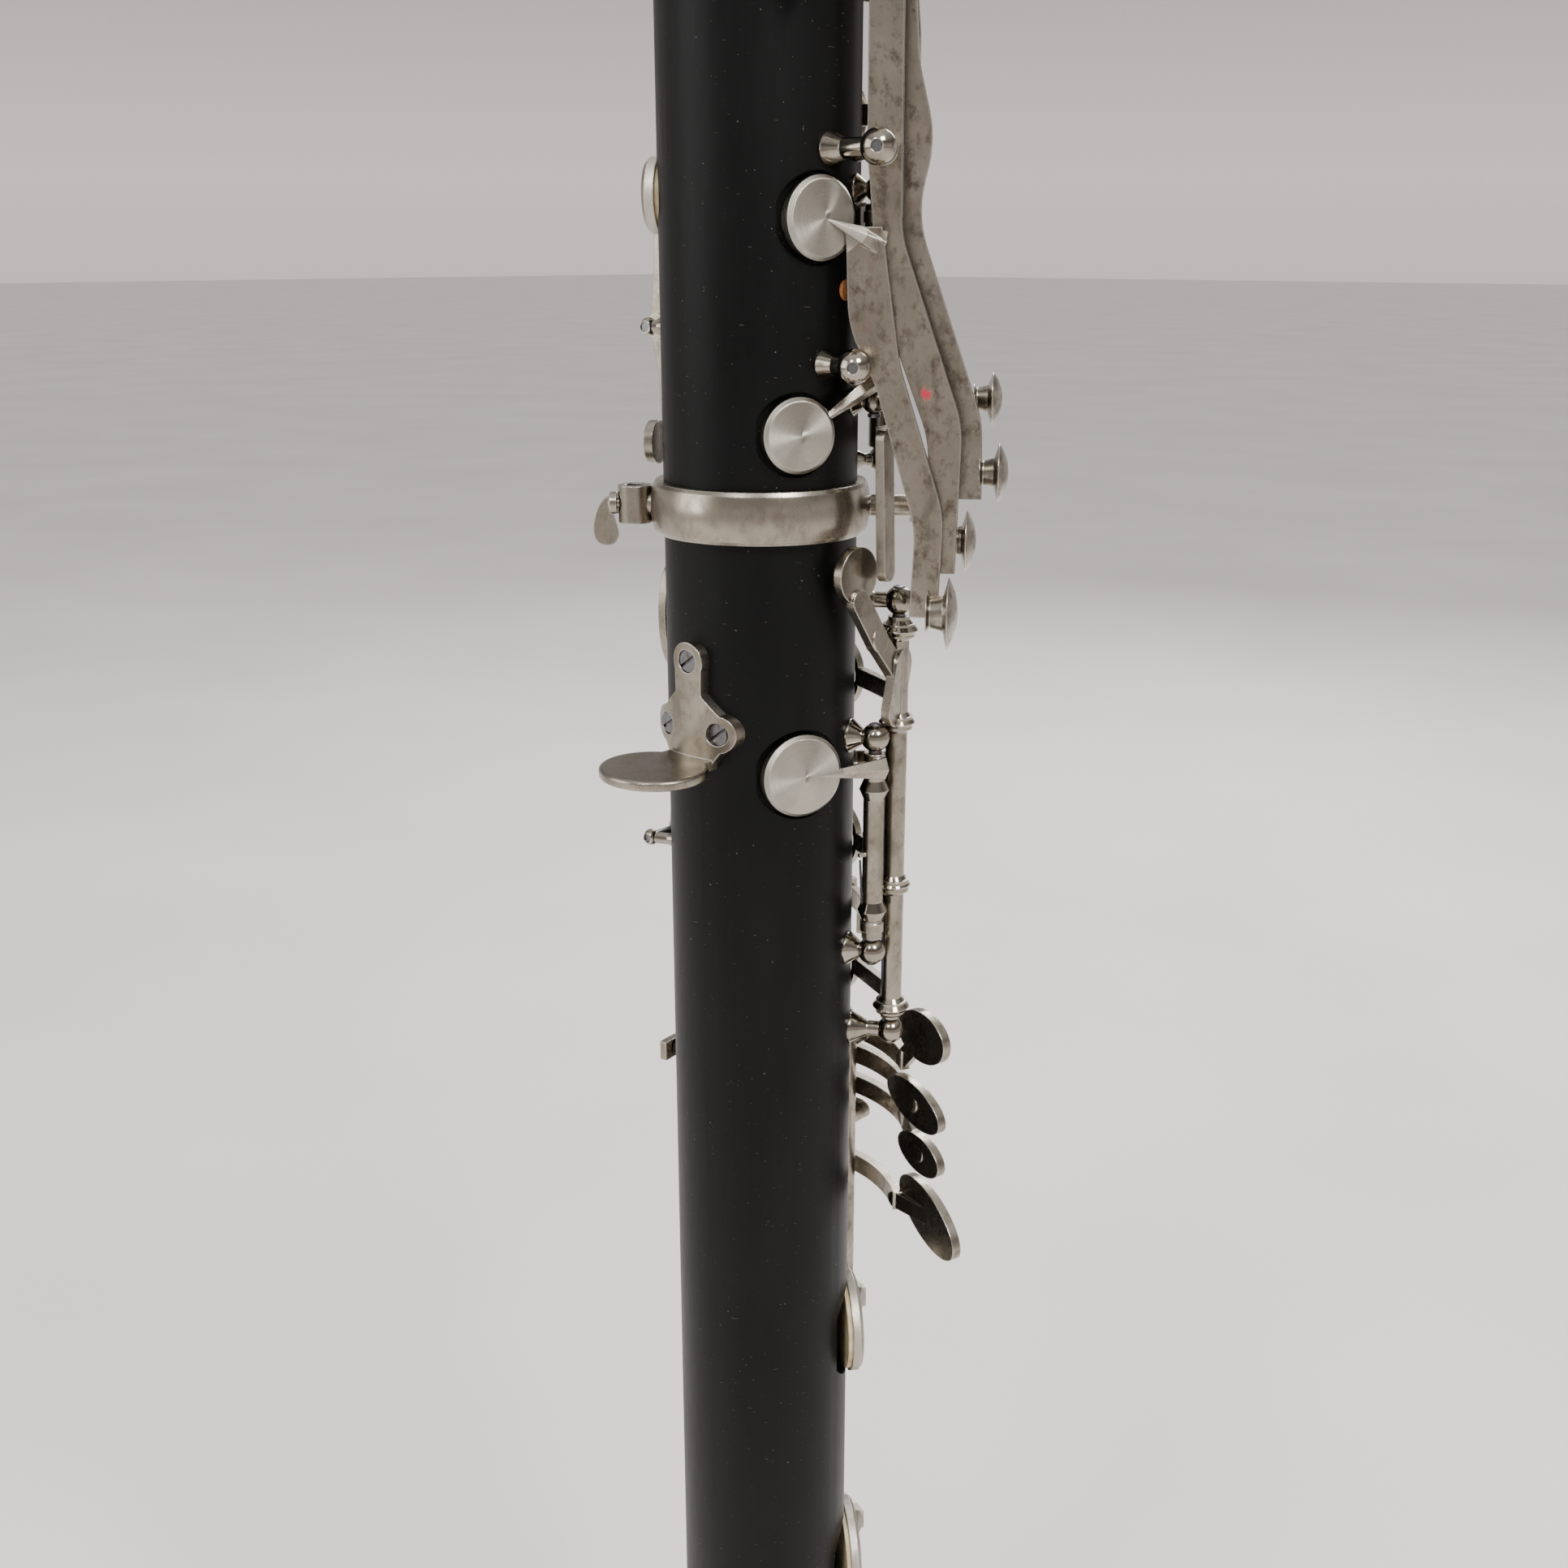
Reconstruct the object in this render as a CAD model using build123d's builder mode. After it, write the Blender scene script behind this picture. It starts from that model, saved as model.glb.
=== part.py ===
from build123d import *
import os
from math import asin, atan2, cos, degrees, radians, sin, sqrt

# A Boehm-system clarinet in B flat, standing on its bell.  Millimetres.
# Origin: centre of the bell rim.  +Z runs up the bore to the mouthpiece tip.
# The finger holes face -Y and the player's right hand side is -X.
# Bearings are in degrees round the bore, from the finger holes (0) towards
# the player's right (90), the thumb side (180) and the player's left (270 or -90).

os.makedirs("parts", exist_ok=True)

# ---------------------------------------------------------------- driving sizes
# lengths along the bore
bell_length = 107.0
lower_length = 230.0
upper_length = 190.0
barrel_length = 66.0
mouthpiece_length = 74.0
tenon_length = 16.0
barrel_tenon_length = 17.0

# body sections
body_radius = 13.0
bore_radius = 7.45
tenon_radius = 10.4
tenon_cork_depth = 0.7
bell_rim_radius = 39.0
bell_wall = 3.4
barrel_waist_radius = 13.6
barrel_end_radius = 15.2
slide_clearance = 0.05

# key work
rod_radius = 0.9
rod_clearance = 0.05
tube_radius = 1.5
end_play = 0.12
pin_radius = 0.7
small_ball = 1.6
large_ball = 2.2
cup_thickness = 2.1
cup_wall = 0.45
pad_thickness = 1.7
pad_recess = 1.0
pad_gap = 0.12
spot_clearance = 0.5
ring_outer_radius = 5.7
ring_inner_radius = 4.95
ring_thickness = 1.2
chimney_radius = 4.3
chimney_top = 14.3
finger_hole_radius = 3.8
blade_thickness = 1.6

# stations up the bore
lower_base = bell_length
upper_base = lower_base + lower_length
barrel_base = upper_base + upper_length
mouthpiece_base = barrel_base + barrel_length
mouthpiece_tip = mouthpiece_base + mouthpiece_length


# ---------------------------------------------------------------- placing helpers
def outward(bearing):
    """Unit vector that points straight out of the body at a bearing."""
    return Vector(-sin(radians(bearing)), -cos(radians(bearing)), 0)


def sideways(bearing):
    """Unit vector round the body, towards larger bearings."""
    return Vector(-cos(radians(bearing)), sin(radians(bearing)), 0)


def spot(bearing, radius, height):
    """Point at a bearing, a distance from the bore axis and a height."""
    return outward(bearing) * radius + Vector(0, 0, height)


def facing(bearing, radius, height):
    """Plane that lies on the body like a label: x round it, y up, z outward."""
    return Plane(
        origin=spot(bearing, radius, height),
        x_dir=sideways(bearing) * -1,
        z_dir=outward(bearing),
    )


def beside(bearing, offset):
    """Plane through the bore axis, moved sideways: x outward, y up."""
    return Plane(
        origin=sideways(bearing) * offset,
        x_dir=outward(bearing),
        z_dir=sideways(bearing),
    )


def stud(bearing, start, end, height, radius, mode=Mode.ADD):
    """Round bar that points straight out of the body."""
    with Locations(facing(bearing, start, height)):
        Cylinder(radius, end - start, align=(Align.CENTER, Align.CENTER, Align.MIN), mode=mode)


def upright(bearing, distance, low, high, radius, mode=Mode.ADD):
    """Round bar parallel to the bore."""
    with Locations(spot(bearing, distance, low)):
        Cylinder(radius, high - low, align=(Align.CENTER, Align.CENTER, Align.MIN), mode=mode)


def collar(low, high, outer, inner):
    """Turned sleeve on the bore axis."""
    with Locations((0, 0, low)):
        Cylinder(outer, high - low, align=(Align.CENTER, Align.CENTER, Align.MIN))
        Cylinder(inner, high - low, align=(Align.CENTER, Align.CENTER, Align.MIN), mode=Mode.SUBTRACT)


def bar(start, end, width, thickness, face):
    """Flat round-ended bar between two points, its flat side towards face."""
    run = Vector(*end) - Vector(*start)
    middle = (Vector(*start) + Vector(*end)) * 0.5
    normal = face - run.normalized() * face.dot(run.normalized())
    with BuildSketch(Plane(origin=middle, x_dir=run, z_dir=normal)) as outline:
        SlotCenterToCenter(run.length, width)
    extrude(outline.sketch, amount=thickness / 2, both=True)


def band(start, end, inner, outer, height, width):
    """Curved arm round the body between two bearings."""
    first = -90 - start
    turn = start - end
    with BuildSketch(Plane.XY.offset(height - width / 2)) as outline:
        with BuildLine():
            far = CenterArc((0, 0), outer, first, turn)
            near = CenterArc((0, 0), inner, first, turn)
            Line(far @ 0, near @ 0)
            Line(far @ 1, near @ 1)
        make_face()
    extrude(outline.sketch, amount=width)


def ridge(start, tip, width, depth, face):
    """Key arm with a roof-shaped back that runs to a sharp point at its tip."""
    run = Vector(*tip) - Vector(*start)
    along = run.normalized()
    normal = (face - along * face.dot(along)).normalized()
    with BuildSketch(Plane(origin=start, x_dir=normal, z_dir=along)) as section:
        with BuildLine():
            Polyline((-depth, -width / 2), (0, -width / 2), (depth, 0), (0, width / 2),
                     (-depth, width / 2), close=True)
        make_face()
    loft([section.sketch.face(), Vertex(*tip)])


# ---------------------------------------------------------------- key helpers
def seat_radius(cup_radius):
    """Distance from the bore axis to the flat seat that a cup closes on."""
    reach = min(cup_radius, 6.6) + 0.35
    return sqrt(body_radius**2 - reach**2)


def tone_hole(bearing, height, cup_radius, hole_radius):
    """Flat spot face for a pad, with its hole into the bore."""
    seat = seat_radius(cup_radius)
    stud(bearing, seat, body_radius + 4, height, cup_radius + spot_clearance, Mode.SUBTRACT)
    stud(bearing, 0, body_radius, height, hole_radius, Mode.SUBTRACT)


def finger_hole(height):
    """Plain hole on the front of a joint."""
    stud(0, 0, chimney_top + 1, height, finger_hole_radius, Mode.SUBTRACT)


def pad_bottom(cup_radius):
    """Distance from the bore axis to the closed pad's face."""
    return seat_radius(cup_radius) + pad_gap


def cup_bottom(cup_radius):
    """Distance from the bore axis to the closed cup's rim."""
    return pad_bottom(cup_radius) + pad_thickness - pad_recess


def cup_top(cup_radius):
    """Distance from the bore axis to the middle of the closed cup's back."""
    return cup_bottom(cup_radius) + cup_thickness


def cup(bearing, height, radius):
    """Pad cup: a shallow turned dish with a bevelled edge and a low cone for its back."""
    with BuildSketch(Plane(origin=spot(bearing, 0, height), x_dir=outward(bearing), z_dir=sideways(bearing))
                     ) as profile:
        with BuildLine():
            low = cup_bottom(radius)
            top = cup_top(radius)
            Polyline((low, radius - cup_wall), (low, radius), (top - 0.9, radius),
                     (top - 0.4, radius - 0.5), (top, 0), (low + pad_recess, 0),
                     (low + pad_recess, radius - cup_wall), close=True)
        make_face()
    revolve(profile.sketch, Axis(spot(bearing, 0, height), outward(bearing)))


def pad_room(bearing, height, radius):
    """Clear the space that a pad fills inside its cup."""
    low = pad_bottom(radius)
    stud(bearing, low, low + pad_thickness, height, radius - cup_wall, Mode.SUBTRACT)


def pad(bearing, height, radius):
    """Skin-covered pad that fills a cup."""
    low = pad_bottom(radius)
    stud(bearing, low, low + pad_thickness, height, radius - cup_wall)


def hinge_tube(bearing, distance, low, high):
    """Key tube that turns on a hinge rod, with the rod's bore left open."""
    upright(bearing, distance, low + end_play, high - end_play, tube_radius)


def hinge_bore(bearing, distance, low, high):
    """Bore of a key tube, cut last so that the arms leave it clear."""
    upright(bearing, distance, low - 1, high + 1, rod_radius + rod_clearance, Mode.SUBTRACT)


def spud(bearing, distance, height):
    """Diamond-shaped collar where an arm is soldered to a tube."""
    point = outward(bearing) * (tube_radius + 1.1)
    with BuildSketch(Plane.XY.offset(height)) as collar_outline:
        with Locations((spot(bearing, distance, 0).X, spot(bearing, distance, 0).Y)):
            Circle(tube_radius + 0.7)
    extrude(collar_outline.sketch, amount=0.9, both=True)
    ridge(spot(bearing, distance, height), spot(bearing, distance, height) + point, 1.8, 1.0,
          Vector(0, 0, 1))


def finger_ring(height, level):
    """Open ring round a finger hole, with its lower face at a level."""
    stud(0, level, level + ring_thickness, height, ring_outer_radius)


def ring_opening(height):
    """Hole of a finger ring, cut after its arm is on."""
    stud(0, body_radius - 2, body_radius + 8, height, ring_inner_radius, Mode.SUBTRACT)


def post(bearing, distance, height, ball_radius, foot=None):
    """Turned post: a flared foot, a narrow neck and a ball that holds a rod."""
    neck = max(ball_radius * 0.55, pin_radius + 0.15)
    foot = foot or ball_radius * 1.2
    waist = distance - sqrt(ball_radius**2 - neck**2)
    flare_end = min(body_radius + 0.2 + foot, waist - 0.05)
    with BuildSketch(Plane(origin=spot(bearing, 0, height), x_dir=outward(bearing), z_dir=sideways(bearing))
                     ) as profile:
        with BuildLine():
            Polyline((waist, neck), (flare_end, neck), (body_radius + 0.2, foot), (body_radius - 0.8, foot),
                     (body_radius - 0.8, 0), (distance + ball_radius, 0))
            ThreePointArc((distance + ball_radius, 0), (distance, ball_radius), (waist, neck))
        make_face()
    revolve(profile.sketch, Axis(spot(bearing, 0, height), outward(bearing)))


def turned_open(key, bearing, distance, angle):
    """Turn a key that was drawn closed about its rod, to where its spring holds it."""
    return key.rotate(Axis(spot(bearing, distance, 0), (0, 0, 1)), angle)


def finish(solid, label):
    """Name a piece and write it."""
    solid.label = label
    export_step(solid, f"parts/{label}.step")


# ---------------------------------------------------------------- where things stand
# finger holes, counted up the instrument
right_ring_hole = 263.0
right_middle_hole = 283.0
right_index_hole = 308.0
left_ring_hole = 360.0
left_middle_hole = 383.0
left_index_hole = 412.0
thumb_hole = 418.0

# hinge rods that run parallel to the bore: bearing, distance from the axis, lower post, upper post
upper_stack = (27.0, 17.4, 338.9, 401.0)
index_stack = (27.0, 17.4, 401.0, 433.0)
left_sliver_rod = (68.0, 15.8, 347.6, 373.5)
thumb_rod = (118.0, 16.5, 398.0, 428.0)
g_sharp_rod = (-38.0, 17.0, 436.0, 466.0)
lower_stack = (56.5, 19.0, 257.1, 321.0)
right_sliver_rod = (67.0, 16.6, 270.7, 302.4)
f_sharp_rod = (8.0, 17.0, 197.0, 252.0)
f_rod = (-8.0, 17.0, 153.0, 252.0)
e_rod = (-24.0, 17.0, 118.0, 252.0)
a_flat_rod = (-40.0, 17.0, 203.0, 230.0)

# tone holes under pads: bearing, height, cup radius, hole radius
lower_stack_pad = (0.0, 295.5, 4.6, 2.6)
right_sliver_pad = (113.0, 299.0, 5.7, 3.0)
f_sharp_pad = (45.0, 205.0, 7.8, 5.0)
f_pad = (45.0, 161.0, 7.8, 5.2)
e_pad = (42.0, 129.0, 8.0, 5.4)
a_flat_pad = (-75.0, 216.0, 6.0, 4.0)
upper_stack_pad = (0.0, 397.4, 4.5, 2.5)
index_stack_pad = (0.0, 427.0, 4.5, 2.5)
left_sliver_pad = (116.5, 344.0, 4.8, 2.3)
thumb_pad = (163.0, 404.6, 4.5, 2.5)
c_sharp_pad = (238.0, 373.0, 4.75, 2.4)
g_sharp_pad = (-66.0, 457.0, 4.6, 2.4)
throat_a_pad = (8.0, 473.0, 4.4, 2.2)
register_pad = (180.0, 500.0, 4.2, 1.6)
side_pads = ((104.0, 370.0, 5.05, 2.5), (100.0, 442.0, 4.7, 2.4),
             (84.0, 459.0, 4.6, 2.4), (70.0, 477.0, 4.6, 2.3))

# how far each kind of key swings, in degrees
stack_swing = 5.0
middle_swing = 6.5
index_swing = 7.0
thumb_swing = 4.0
little_finger_swing = 5.5

# side keys: all four swing in planes beside this bearing
side_bearing = 56.0
side_offsets = (8.0, 6.0, 0.9, -2.1)
low_pin = (13.7, 352.5)
mid_pin = (16.3, 378.0)
high_pin = (16.3, 402.0)

# pinned levers on their own bearings: bearing, distance of the pin, height of the pin
register_pin = (180.0, 15.9, 452.0)
throat_a_pin = (8.0, 16.2, 455.0)
c_sharp_pin = (262.0, 15.6, 356.5)
left_lever_pins = ((-50.0, 16.0, 268.0), (-70.0, 16.0, 276.0), (-90.0, 16.0, 284.0))
left_lever_tips = (235.0, 242.5, 246.8)
left_lever_touches = (300.0, 307.0, 314.0)
pin_half_span = 3.6
lever_half_span = 3.0
outer_lever_span = 6.6
tail_inner = 19.9
tail_outer = 21.1
tail_drop = 1.7
crossing_inner = 20.3
crossing_outer = 21.7

# metal socket ring at the top of the lower joint
socket_ring_height = 6.8
socket_ring_radius = 14.4
socket_ring_seat = 12.6
lug_bearing = 231.5
lug_distance = 17.0
lyre_hole = 1.3
stop_bearing = 48.0


# ---------------------------------------------------------------- bodies
with BuildPart() as bell:
    with BuildSketch(Plane.XZ) as bell_section:
        with BuildLine():
            outside = Spline((bell_rim_radius - 0.8, 2.2), (32.5, 11.5), (24.2, 30), (18.6, 58),
                             (16.4, 86), (15.4, bell_length - 6))
            inside = Spline((bell_rim_radius - bell_wall, 0), (28.6, 12), (20.4, 32), (14.8, 58),
                            (10.6, bell_length - tenon_length - 1))
            Polyline(outside @ 0, (bell_rim_radius, 1.6), (bell_rim_radius, 0), inside @ 0)
            Polyline(inside @ 1, (tenon_radius + slide_clearance, bell_length - tenon_length - 1),
                     (tenon_radius + slide_clearance, bell_length), (14.2, bell_length),
                     (14.2, bell_length - 6), outside @ 1)
        make_face()
    revolve(axis=Axis.Z)

with BuildPart() as bell_ring:
    collar(bell_length - 6, bell_length, 15.7, 14.2)
    chamfer(bell_ring.edges().filter_by(GeomType.CIRCLE).filter_by(lambda e: e.radius > 15), 0.5)


with BuildPart() as lower_joint:
    collar(lower_base - tenon_length, upper_base, body_radius, bore_radius)
    with BuildSketch(Plane.XZ):
        with BuildLine():
            Polyline((bore_radius + 2, lower_base), (15.2, lower_base), (15.2, lower_base + 4),
                     (body_radius, lower_base + 9), (bore_radius + 2, lower_base + 9), close=True)
        make_face()
    revolve(axis=Axis.Z)
    # tenon with its cork groove, socket for the upper joint, seat for the socket ring
    with BuildSketch(Plane.XZ):
        with Locations((tenon_radius, lower_base - tenon_length)):
            Rectangle(6, tenon_length, align=(Align.MIN, Align.MIN))
        with Locations((tenon_radius - tenon_cork_depth, lower_base - tenon_length + 2)):
            Rectangle(2, tenon_length - 4, align=(Align.MIN, Align.MIN))
        with Locations((0, upper_base - tenon_length - 0.5)):
            Rectangle(tenon_radius + slide_clearance, tenon_length + 0.5, align=(Align.MIN, Align.MIN))
        with Locations((socket_ring_seat, upper_base - socket_ring_height)):
            Rectangle(4, socket_ring_height, align=(Align.MIN, Align.MIN))
    revolve(axis=Axis.Z, mode=Mode.SUBTRACT)
    for height in (right_ring_hole, right_middle_hole, right_index_hole):
        stud(0, bore_radius + 1, chimney_top, height, chimney_radius)
        finger_hole(height)
    for hole in (lower_stack_pad, right_sliver_pad, f_sharp_pad, f_pad, e_pad, a_flat_pad):
        tone_hole(*hole)

with BuildPart() as upper_joint:
    collar(upper_base - tenon_length, barrel_base + barrel_tenon_length - 1, body_radius, bore_radius)
    with BuildSketch(Plane.XZ):
        with Locations((tenon_radius, upper_base - tenon_length)):
            Rectangle(4, tenon_length, align=(Align.MIN, Align.MIN))
        with Locations((tenon_radius - tenon_cork_depth, upper_base - tenon_length + 2)):
            Rectangle(2, tenon_length - 4, align=(Align.MIN, Align.MIN))
        with Locations((tenon_radius, barrel_base)):
            Rectangle(4, barrel_tenon_length, align=(Align.MIN, Align.MIN))
        with Locations((tenon_radius - tenon_cork_depth, barrel_base + 2)):
            Rectangle(2, barrel_tenon_length - 5, align=(Align.MIN, Align.MIN))
    revolve(axis=Axis.Z, mode=Mode.SUBTRACT)
    for height in (left_middle_hole, left_index_hole):
        stud(0, bore_radius + 1, chimney_top, height, chimney_radius)
        finger_hole(height)
    finger_hole(left_ring_hole)
    stud(180, 0, body_radius + 3, thumb_hole, chimney_radius, Mode.SUBTRACT)
    for hole in (upper_stack_pad, index_stack_pad, left_sliver_pad, thumb_pad, c_sharp_pad,
                 g_sharp_pad, throat_a_pad, register_pad, *side_pads):
        tone_hole(*hole)

with BuildPart() as thumb_tube:
    stud(180, bore_radius + 0.4, chimney_top, thumb_hole, chimney_radius)
    stud(180, 0, chimney_top + 1, thumb_hole, finger_hole_radius - 0.4, Mode.SUBTRACT)

with BuildPart() as tenon_corks:
    for low, length in ((lower_base - tenon_length, tenon_length - 4),
                        (upper_base - tenon_length, tenon_length - 4),
                        (barrel_base, barrel_tenon_length - 5)):
        collar(low + 2, low + 2 + length, tenon_radius, tenon_radius - tenon_cork_depth)

# ---------------------------------------------------------------- barrel and mouthpiece
with BuildPart() as barrel:
    with BuildSketch(Plane.XZ):
        with BuildLine():
            waist = Spline((barrel_end_radius, barrel_base + 6), (barrel_waist_radius, barrel_base + 30),
                           (barrel_end_radius - 0.6, mouthpiece_base - 6))
            Polyline(waist @ 0, (14.1, barrel_base + 6), (14.1, barrel_base),
                     (tenon_radius + slide_clearance, barrel_base),
                     (tenon_radius + slide_clearance, barrel_base + barrel_tenon_length + 0.3),
                     (bore_radius, barrel_base + barrel_tenon_length + 0.3),
                     (bore_radius, mouthpiece_base - tenon_length - 0.3),
                     (tenon_radius + slide_clearance, mouthpiece_base - tenon_length - 0.3),
                     (tenon_radius + slide_clearance, mouthpiece_base), (13.4, mouthpiece_base),
                     (13.4, mouthpiece_base - 6), waist @ 1)
        make_face()
    revolve(axis=Axis.Z)

with BuildPart() as barrel_rings:
    collar(barrel_base, barrel_base + 6, barrel_end_radius + 0.4, 14.1)
    collar(mouthpiece_base - 6, mouthpiece_base, barrel_end_radius - 0.2, 13.4)
    chamfer(barrel_rings.edges().filter_by(GeomType.CIRCLE).filter_by(lambda e: e.radius > 14.5), 0.5)

reed_table = 8.0
reed_width = 12.8
reed_heel = 2.7
reed_low = mouthpiece_base + 8
with BuildPart() as mouthpiece:
    with BuildSketch(Plane.XZ):
        with BuildLine():
            Polyline((0, mouthpiece_base - tenon_length), (tenon_radius, mouthpiece_base - tenon_length),
                     (tenon_radius, mouthpiece_base), (13.9, mouthpiece_base),
                     (13.9, mouthpiece_base + 3), (12.6, mouthpiece_base + 8),
                     (12.6, mouthpiece_base + 35), (10.2, mouthpiece_tip), (0, mouthpiece_tip), close=True)
        make_face()
    revolve(axis=Axis.Z)
    # cork groove
    with BuildSketch(Plane.XZ):
        with Locations((tenon_radius - tenon_cork_depth, mouthpiece_base - tenon_length + 2)):
            Rectangle(2, tenon_length - 4, align=(Align.MIN, Align.MIN))
    revolve(axis=Axis.Z, mode=Mode.SUBTRACT)
    # flat table for the reed, sloping beak on the other side
    with BuildSketch(Plane.YZ):
        with Locations((reed_table, reed_low)):
            Rectangle(10, mouthpiece_length, align=(Align.MIN, Align.MIN))
        with BuildLine():
            Polyline((-16, mouthpiece_base + 35), (-12.7, mouthpiece_base + 38), (5.6, mouthpiece_tip),
                     (5.6, mouthpiece_tip + 2), (-16, mouthpiece_tip + 2), close=True)
        make_face()
    extrude(amount=20, both=True, mode=Mode.SUBTRACT)
    # bore, tone chamber and the window that the reed covers
    with Locations((0, 0, mouthpiece_base - tenon_length)):
        Cylinder(bore_radius - 0.1, 48, align=(Align.CENTER, Align.CENTER, Align.MIN), mode=Mode.SUBTRACT)
    with BuildSketch(Plane.YZ):
        with BuildLine():
            Polyline((-5.2, mouthpiece_base + 20), (reed_table + 1, mouthpiece_base + 26),
                     (reed_table + 1, mouthpiece_tip - 3), (6.9, mouthpiece_tip - 3),
                     (-4.4, mouthpiece_base + 44), close=True)
        make_face()
    extrude(amount=4.6, both=True, mode=Mode.SUBTRACT)

with BuildPart() as mouthpiece_cork:
    collar(mouthpiece_base - tenon_length + 2, mouthpiece_base - 2, tenon_radius,
           tenon_radius - tenon_cork_depth)

with BuildPart() as reed:
    with BuildSketch(Plane.YZ):
        with BuildLine():
            Polyline((reed_table, reed_low + 1), (reed_table + reed_heel, reed_low + 1),
                     (reed_table + reed_heel, reed_low + 31), (reed_table + 1.5, reed_low + 42),
                     (reed_table + 0.25, mouthpiece_tip - 0.4), (reed_table, mouthpiece_tip - 0.4), close=True)
        make_face()
    extrude(amount=reed_width / 2, both=True)
    fillet(reed.edges().filter_by(Axis.Z).filter_by(lambda e: e.center().Y > reed_table + 2), 0.8)

ligature_low = mouthpiece_base + 12
ligature_high = mouthpiece_base + 33
ligature_inner = 12.75
ligature_screw_heights = (ligature_low + 5, ligature_high - 5)
with BuildPart() as ligature:
    collar(ligature_low, ligature_high, ligature_inner + 0.6, ligature_inner)
    for height in ligature_screw_heights:
        for side in (-1, 1):
            with Locations((side * 3.2, ligature_inner + 2.4, height)):
                Box(2.4, 4.6, 4.4)
    with BuildSketch(Plane.XZ):
        with Locations((0, (ligature_low + ligature_high) / 2)):
            Rectangle(2.6, 30)
        for height in (ligature_low + 10.5,):
            for turn in (-1, 1):
                with Locations((turn * 8.3, height)):
                    SlotOverall(9, 2.2, rotation=90)
    extrude(amount=-30, mode=Mode.SUBTRACT)
    with Locations((0, 0, ligature_low - 1)):
        Cylinder(ligature_inner, 40, align=(Align.CENTER, Align.CENTER, Align.MIN), mode=Mode.SUBTRACT)
    for height in ligature_screw_heights:
        with Locations(Plane(origin=(-8, ligature_inner + 3, height), z_dir=(1, 0, 0))):
            Cylinder(1.05, 30, mode=Mode.SUBTRACT)


def ligature_screw(height):
    """Screw that draws the band tight: shank across the ears, knurled disc head."""
    with BuildPart() as screw:
        with Locations(Plane(origin=(-4.9, ligature_inner + 3, height), z_dir=(1, 0, 0))):
            Cylinder(1.0, 10.4, align=(Align.CENTER, Align.CENTER, Align.MIN))
        with Locations(Plane(origin=(-4.9, ligature_inner + 3, height), z_dir=(-1, 0, 0))):
            Cylinder(1.6, 2.2, align=(Align.CENTER, Align.CENTER, Align.MIN))
        with Locations(Plane(origin=(-7.0, ligature_inner + 3, height), z_dir=(-1, 0, 0))):
            Cylinder(3.6, 2.4, align=(Align.CENTER, Align.CENTER, Align.MIN))
            with PolarLocations(3.75, 20):
                Cylinder(0.35, 2.4, align=(Align.CENTER, Align.CENTER, Align.MIN), mode=Mode.SUBTRACT)
    return screw.part


# ---------------------------------------------------------------- socket ring and thumb rest
with BuildPart() as lyre_ring:
    low = upper_base - socket_ring_height
    with BuildSketch(Plane.XZ):
        with BuildLine():
            Polyline((socket_ring_seat, low), (socket_ring_radius - 0.3, low),
                     (socket_ring_radius, low + 0.5))
            ThreePointArc((socket_ring_radius, low + 0.5), (socket_ring_radius + 0.4, (low + upper_base) / 2),
                          (socket_ring_radius, upper_base - 0.5))
            Polyline((socket_ring_radius, upper_base - 0.5), (socket_ring_radius - 0.3, upper_base),
                     (socket_ring_seat, upper_base), (socket_ring_seat, low))
        make_face()
    revolve(axis=Axis.Z)
    # lug for the lyre, on a short neck, with a clamping screw hole
    stud(lug_bearing, socket_ring_radius - 1.2, lug_distance, low + 3.4, 1.5)
    upright(lug_bearing, lug_distance, low + 0.9, low + 5.9, 2.3)
    upright(lug_bearing, lug_distance, low - 1, upper_base + 1, lyre_hole, Mode.SUBTRACT)
    stud(lug_bearing, lug_distance, lug_distance + 4, low + 3.4, 0.85, Mode.SUBTRACT)
    # stop stub for the side keys
    stud(stop_bearing, socket_ring_radius - 1.2, 20.2, low + 3.2, 1.5)
    stud(stop_bearing, 20.2, 21.0, low + 3.2, 2.5)

thumbscrew_height = upper_base - socket_ring_height + 3.4
with BuildPart() as lyre_thumbscrew:
    stud(lug_bearing, lug_distance + lyre_hole + 0.1, lug_distance + 3.6, thumbscrew_height, 0.8)
    stud(lug_bearing, lug_distance + 2.4, lug_distance + 3.4, thumbscrew_height, 1.5)
    with BuildSketch(beside(lug_bearing, 0)) as wing:
        with BuildLine():
            Spline((lug_distance + 3.0, thumbscrew_height + 1.0), (lug_distance + 5.4, thumbscrew_height - 1.4),
                   (lug_distance + 4.6, thumbscrew_height - 5.6), (lug_distance + 2.9, thumbscrew_height - 5.4),
                   (lug_distance + 3.1, thumbscrew_height - 1.6), (lug_distance + 3.0, thumbscrew_height + 1.0))
        make_face()
    extrude(wing.sketch, amount=0.7, both=True)

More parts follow.
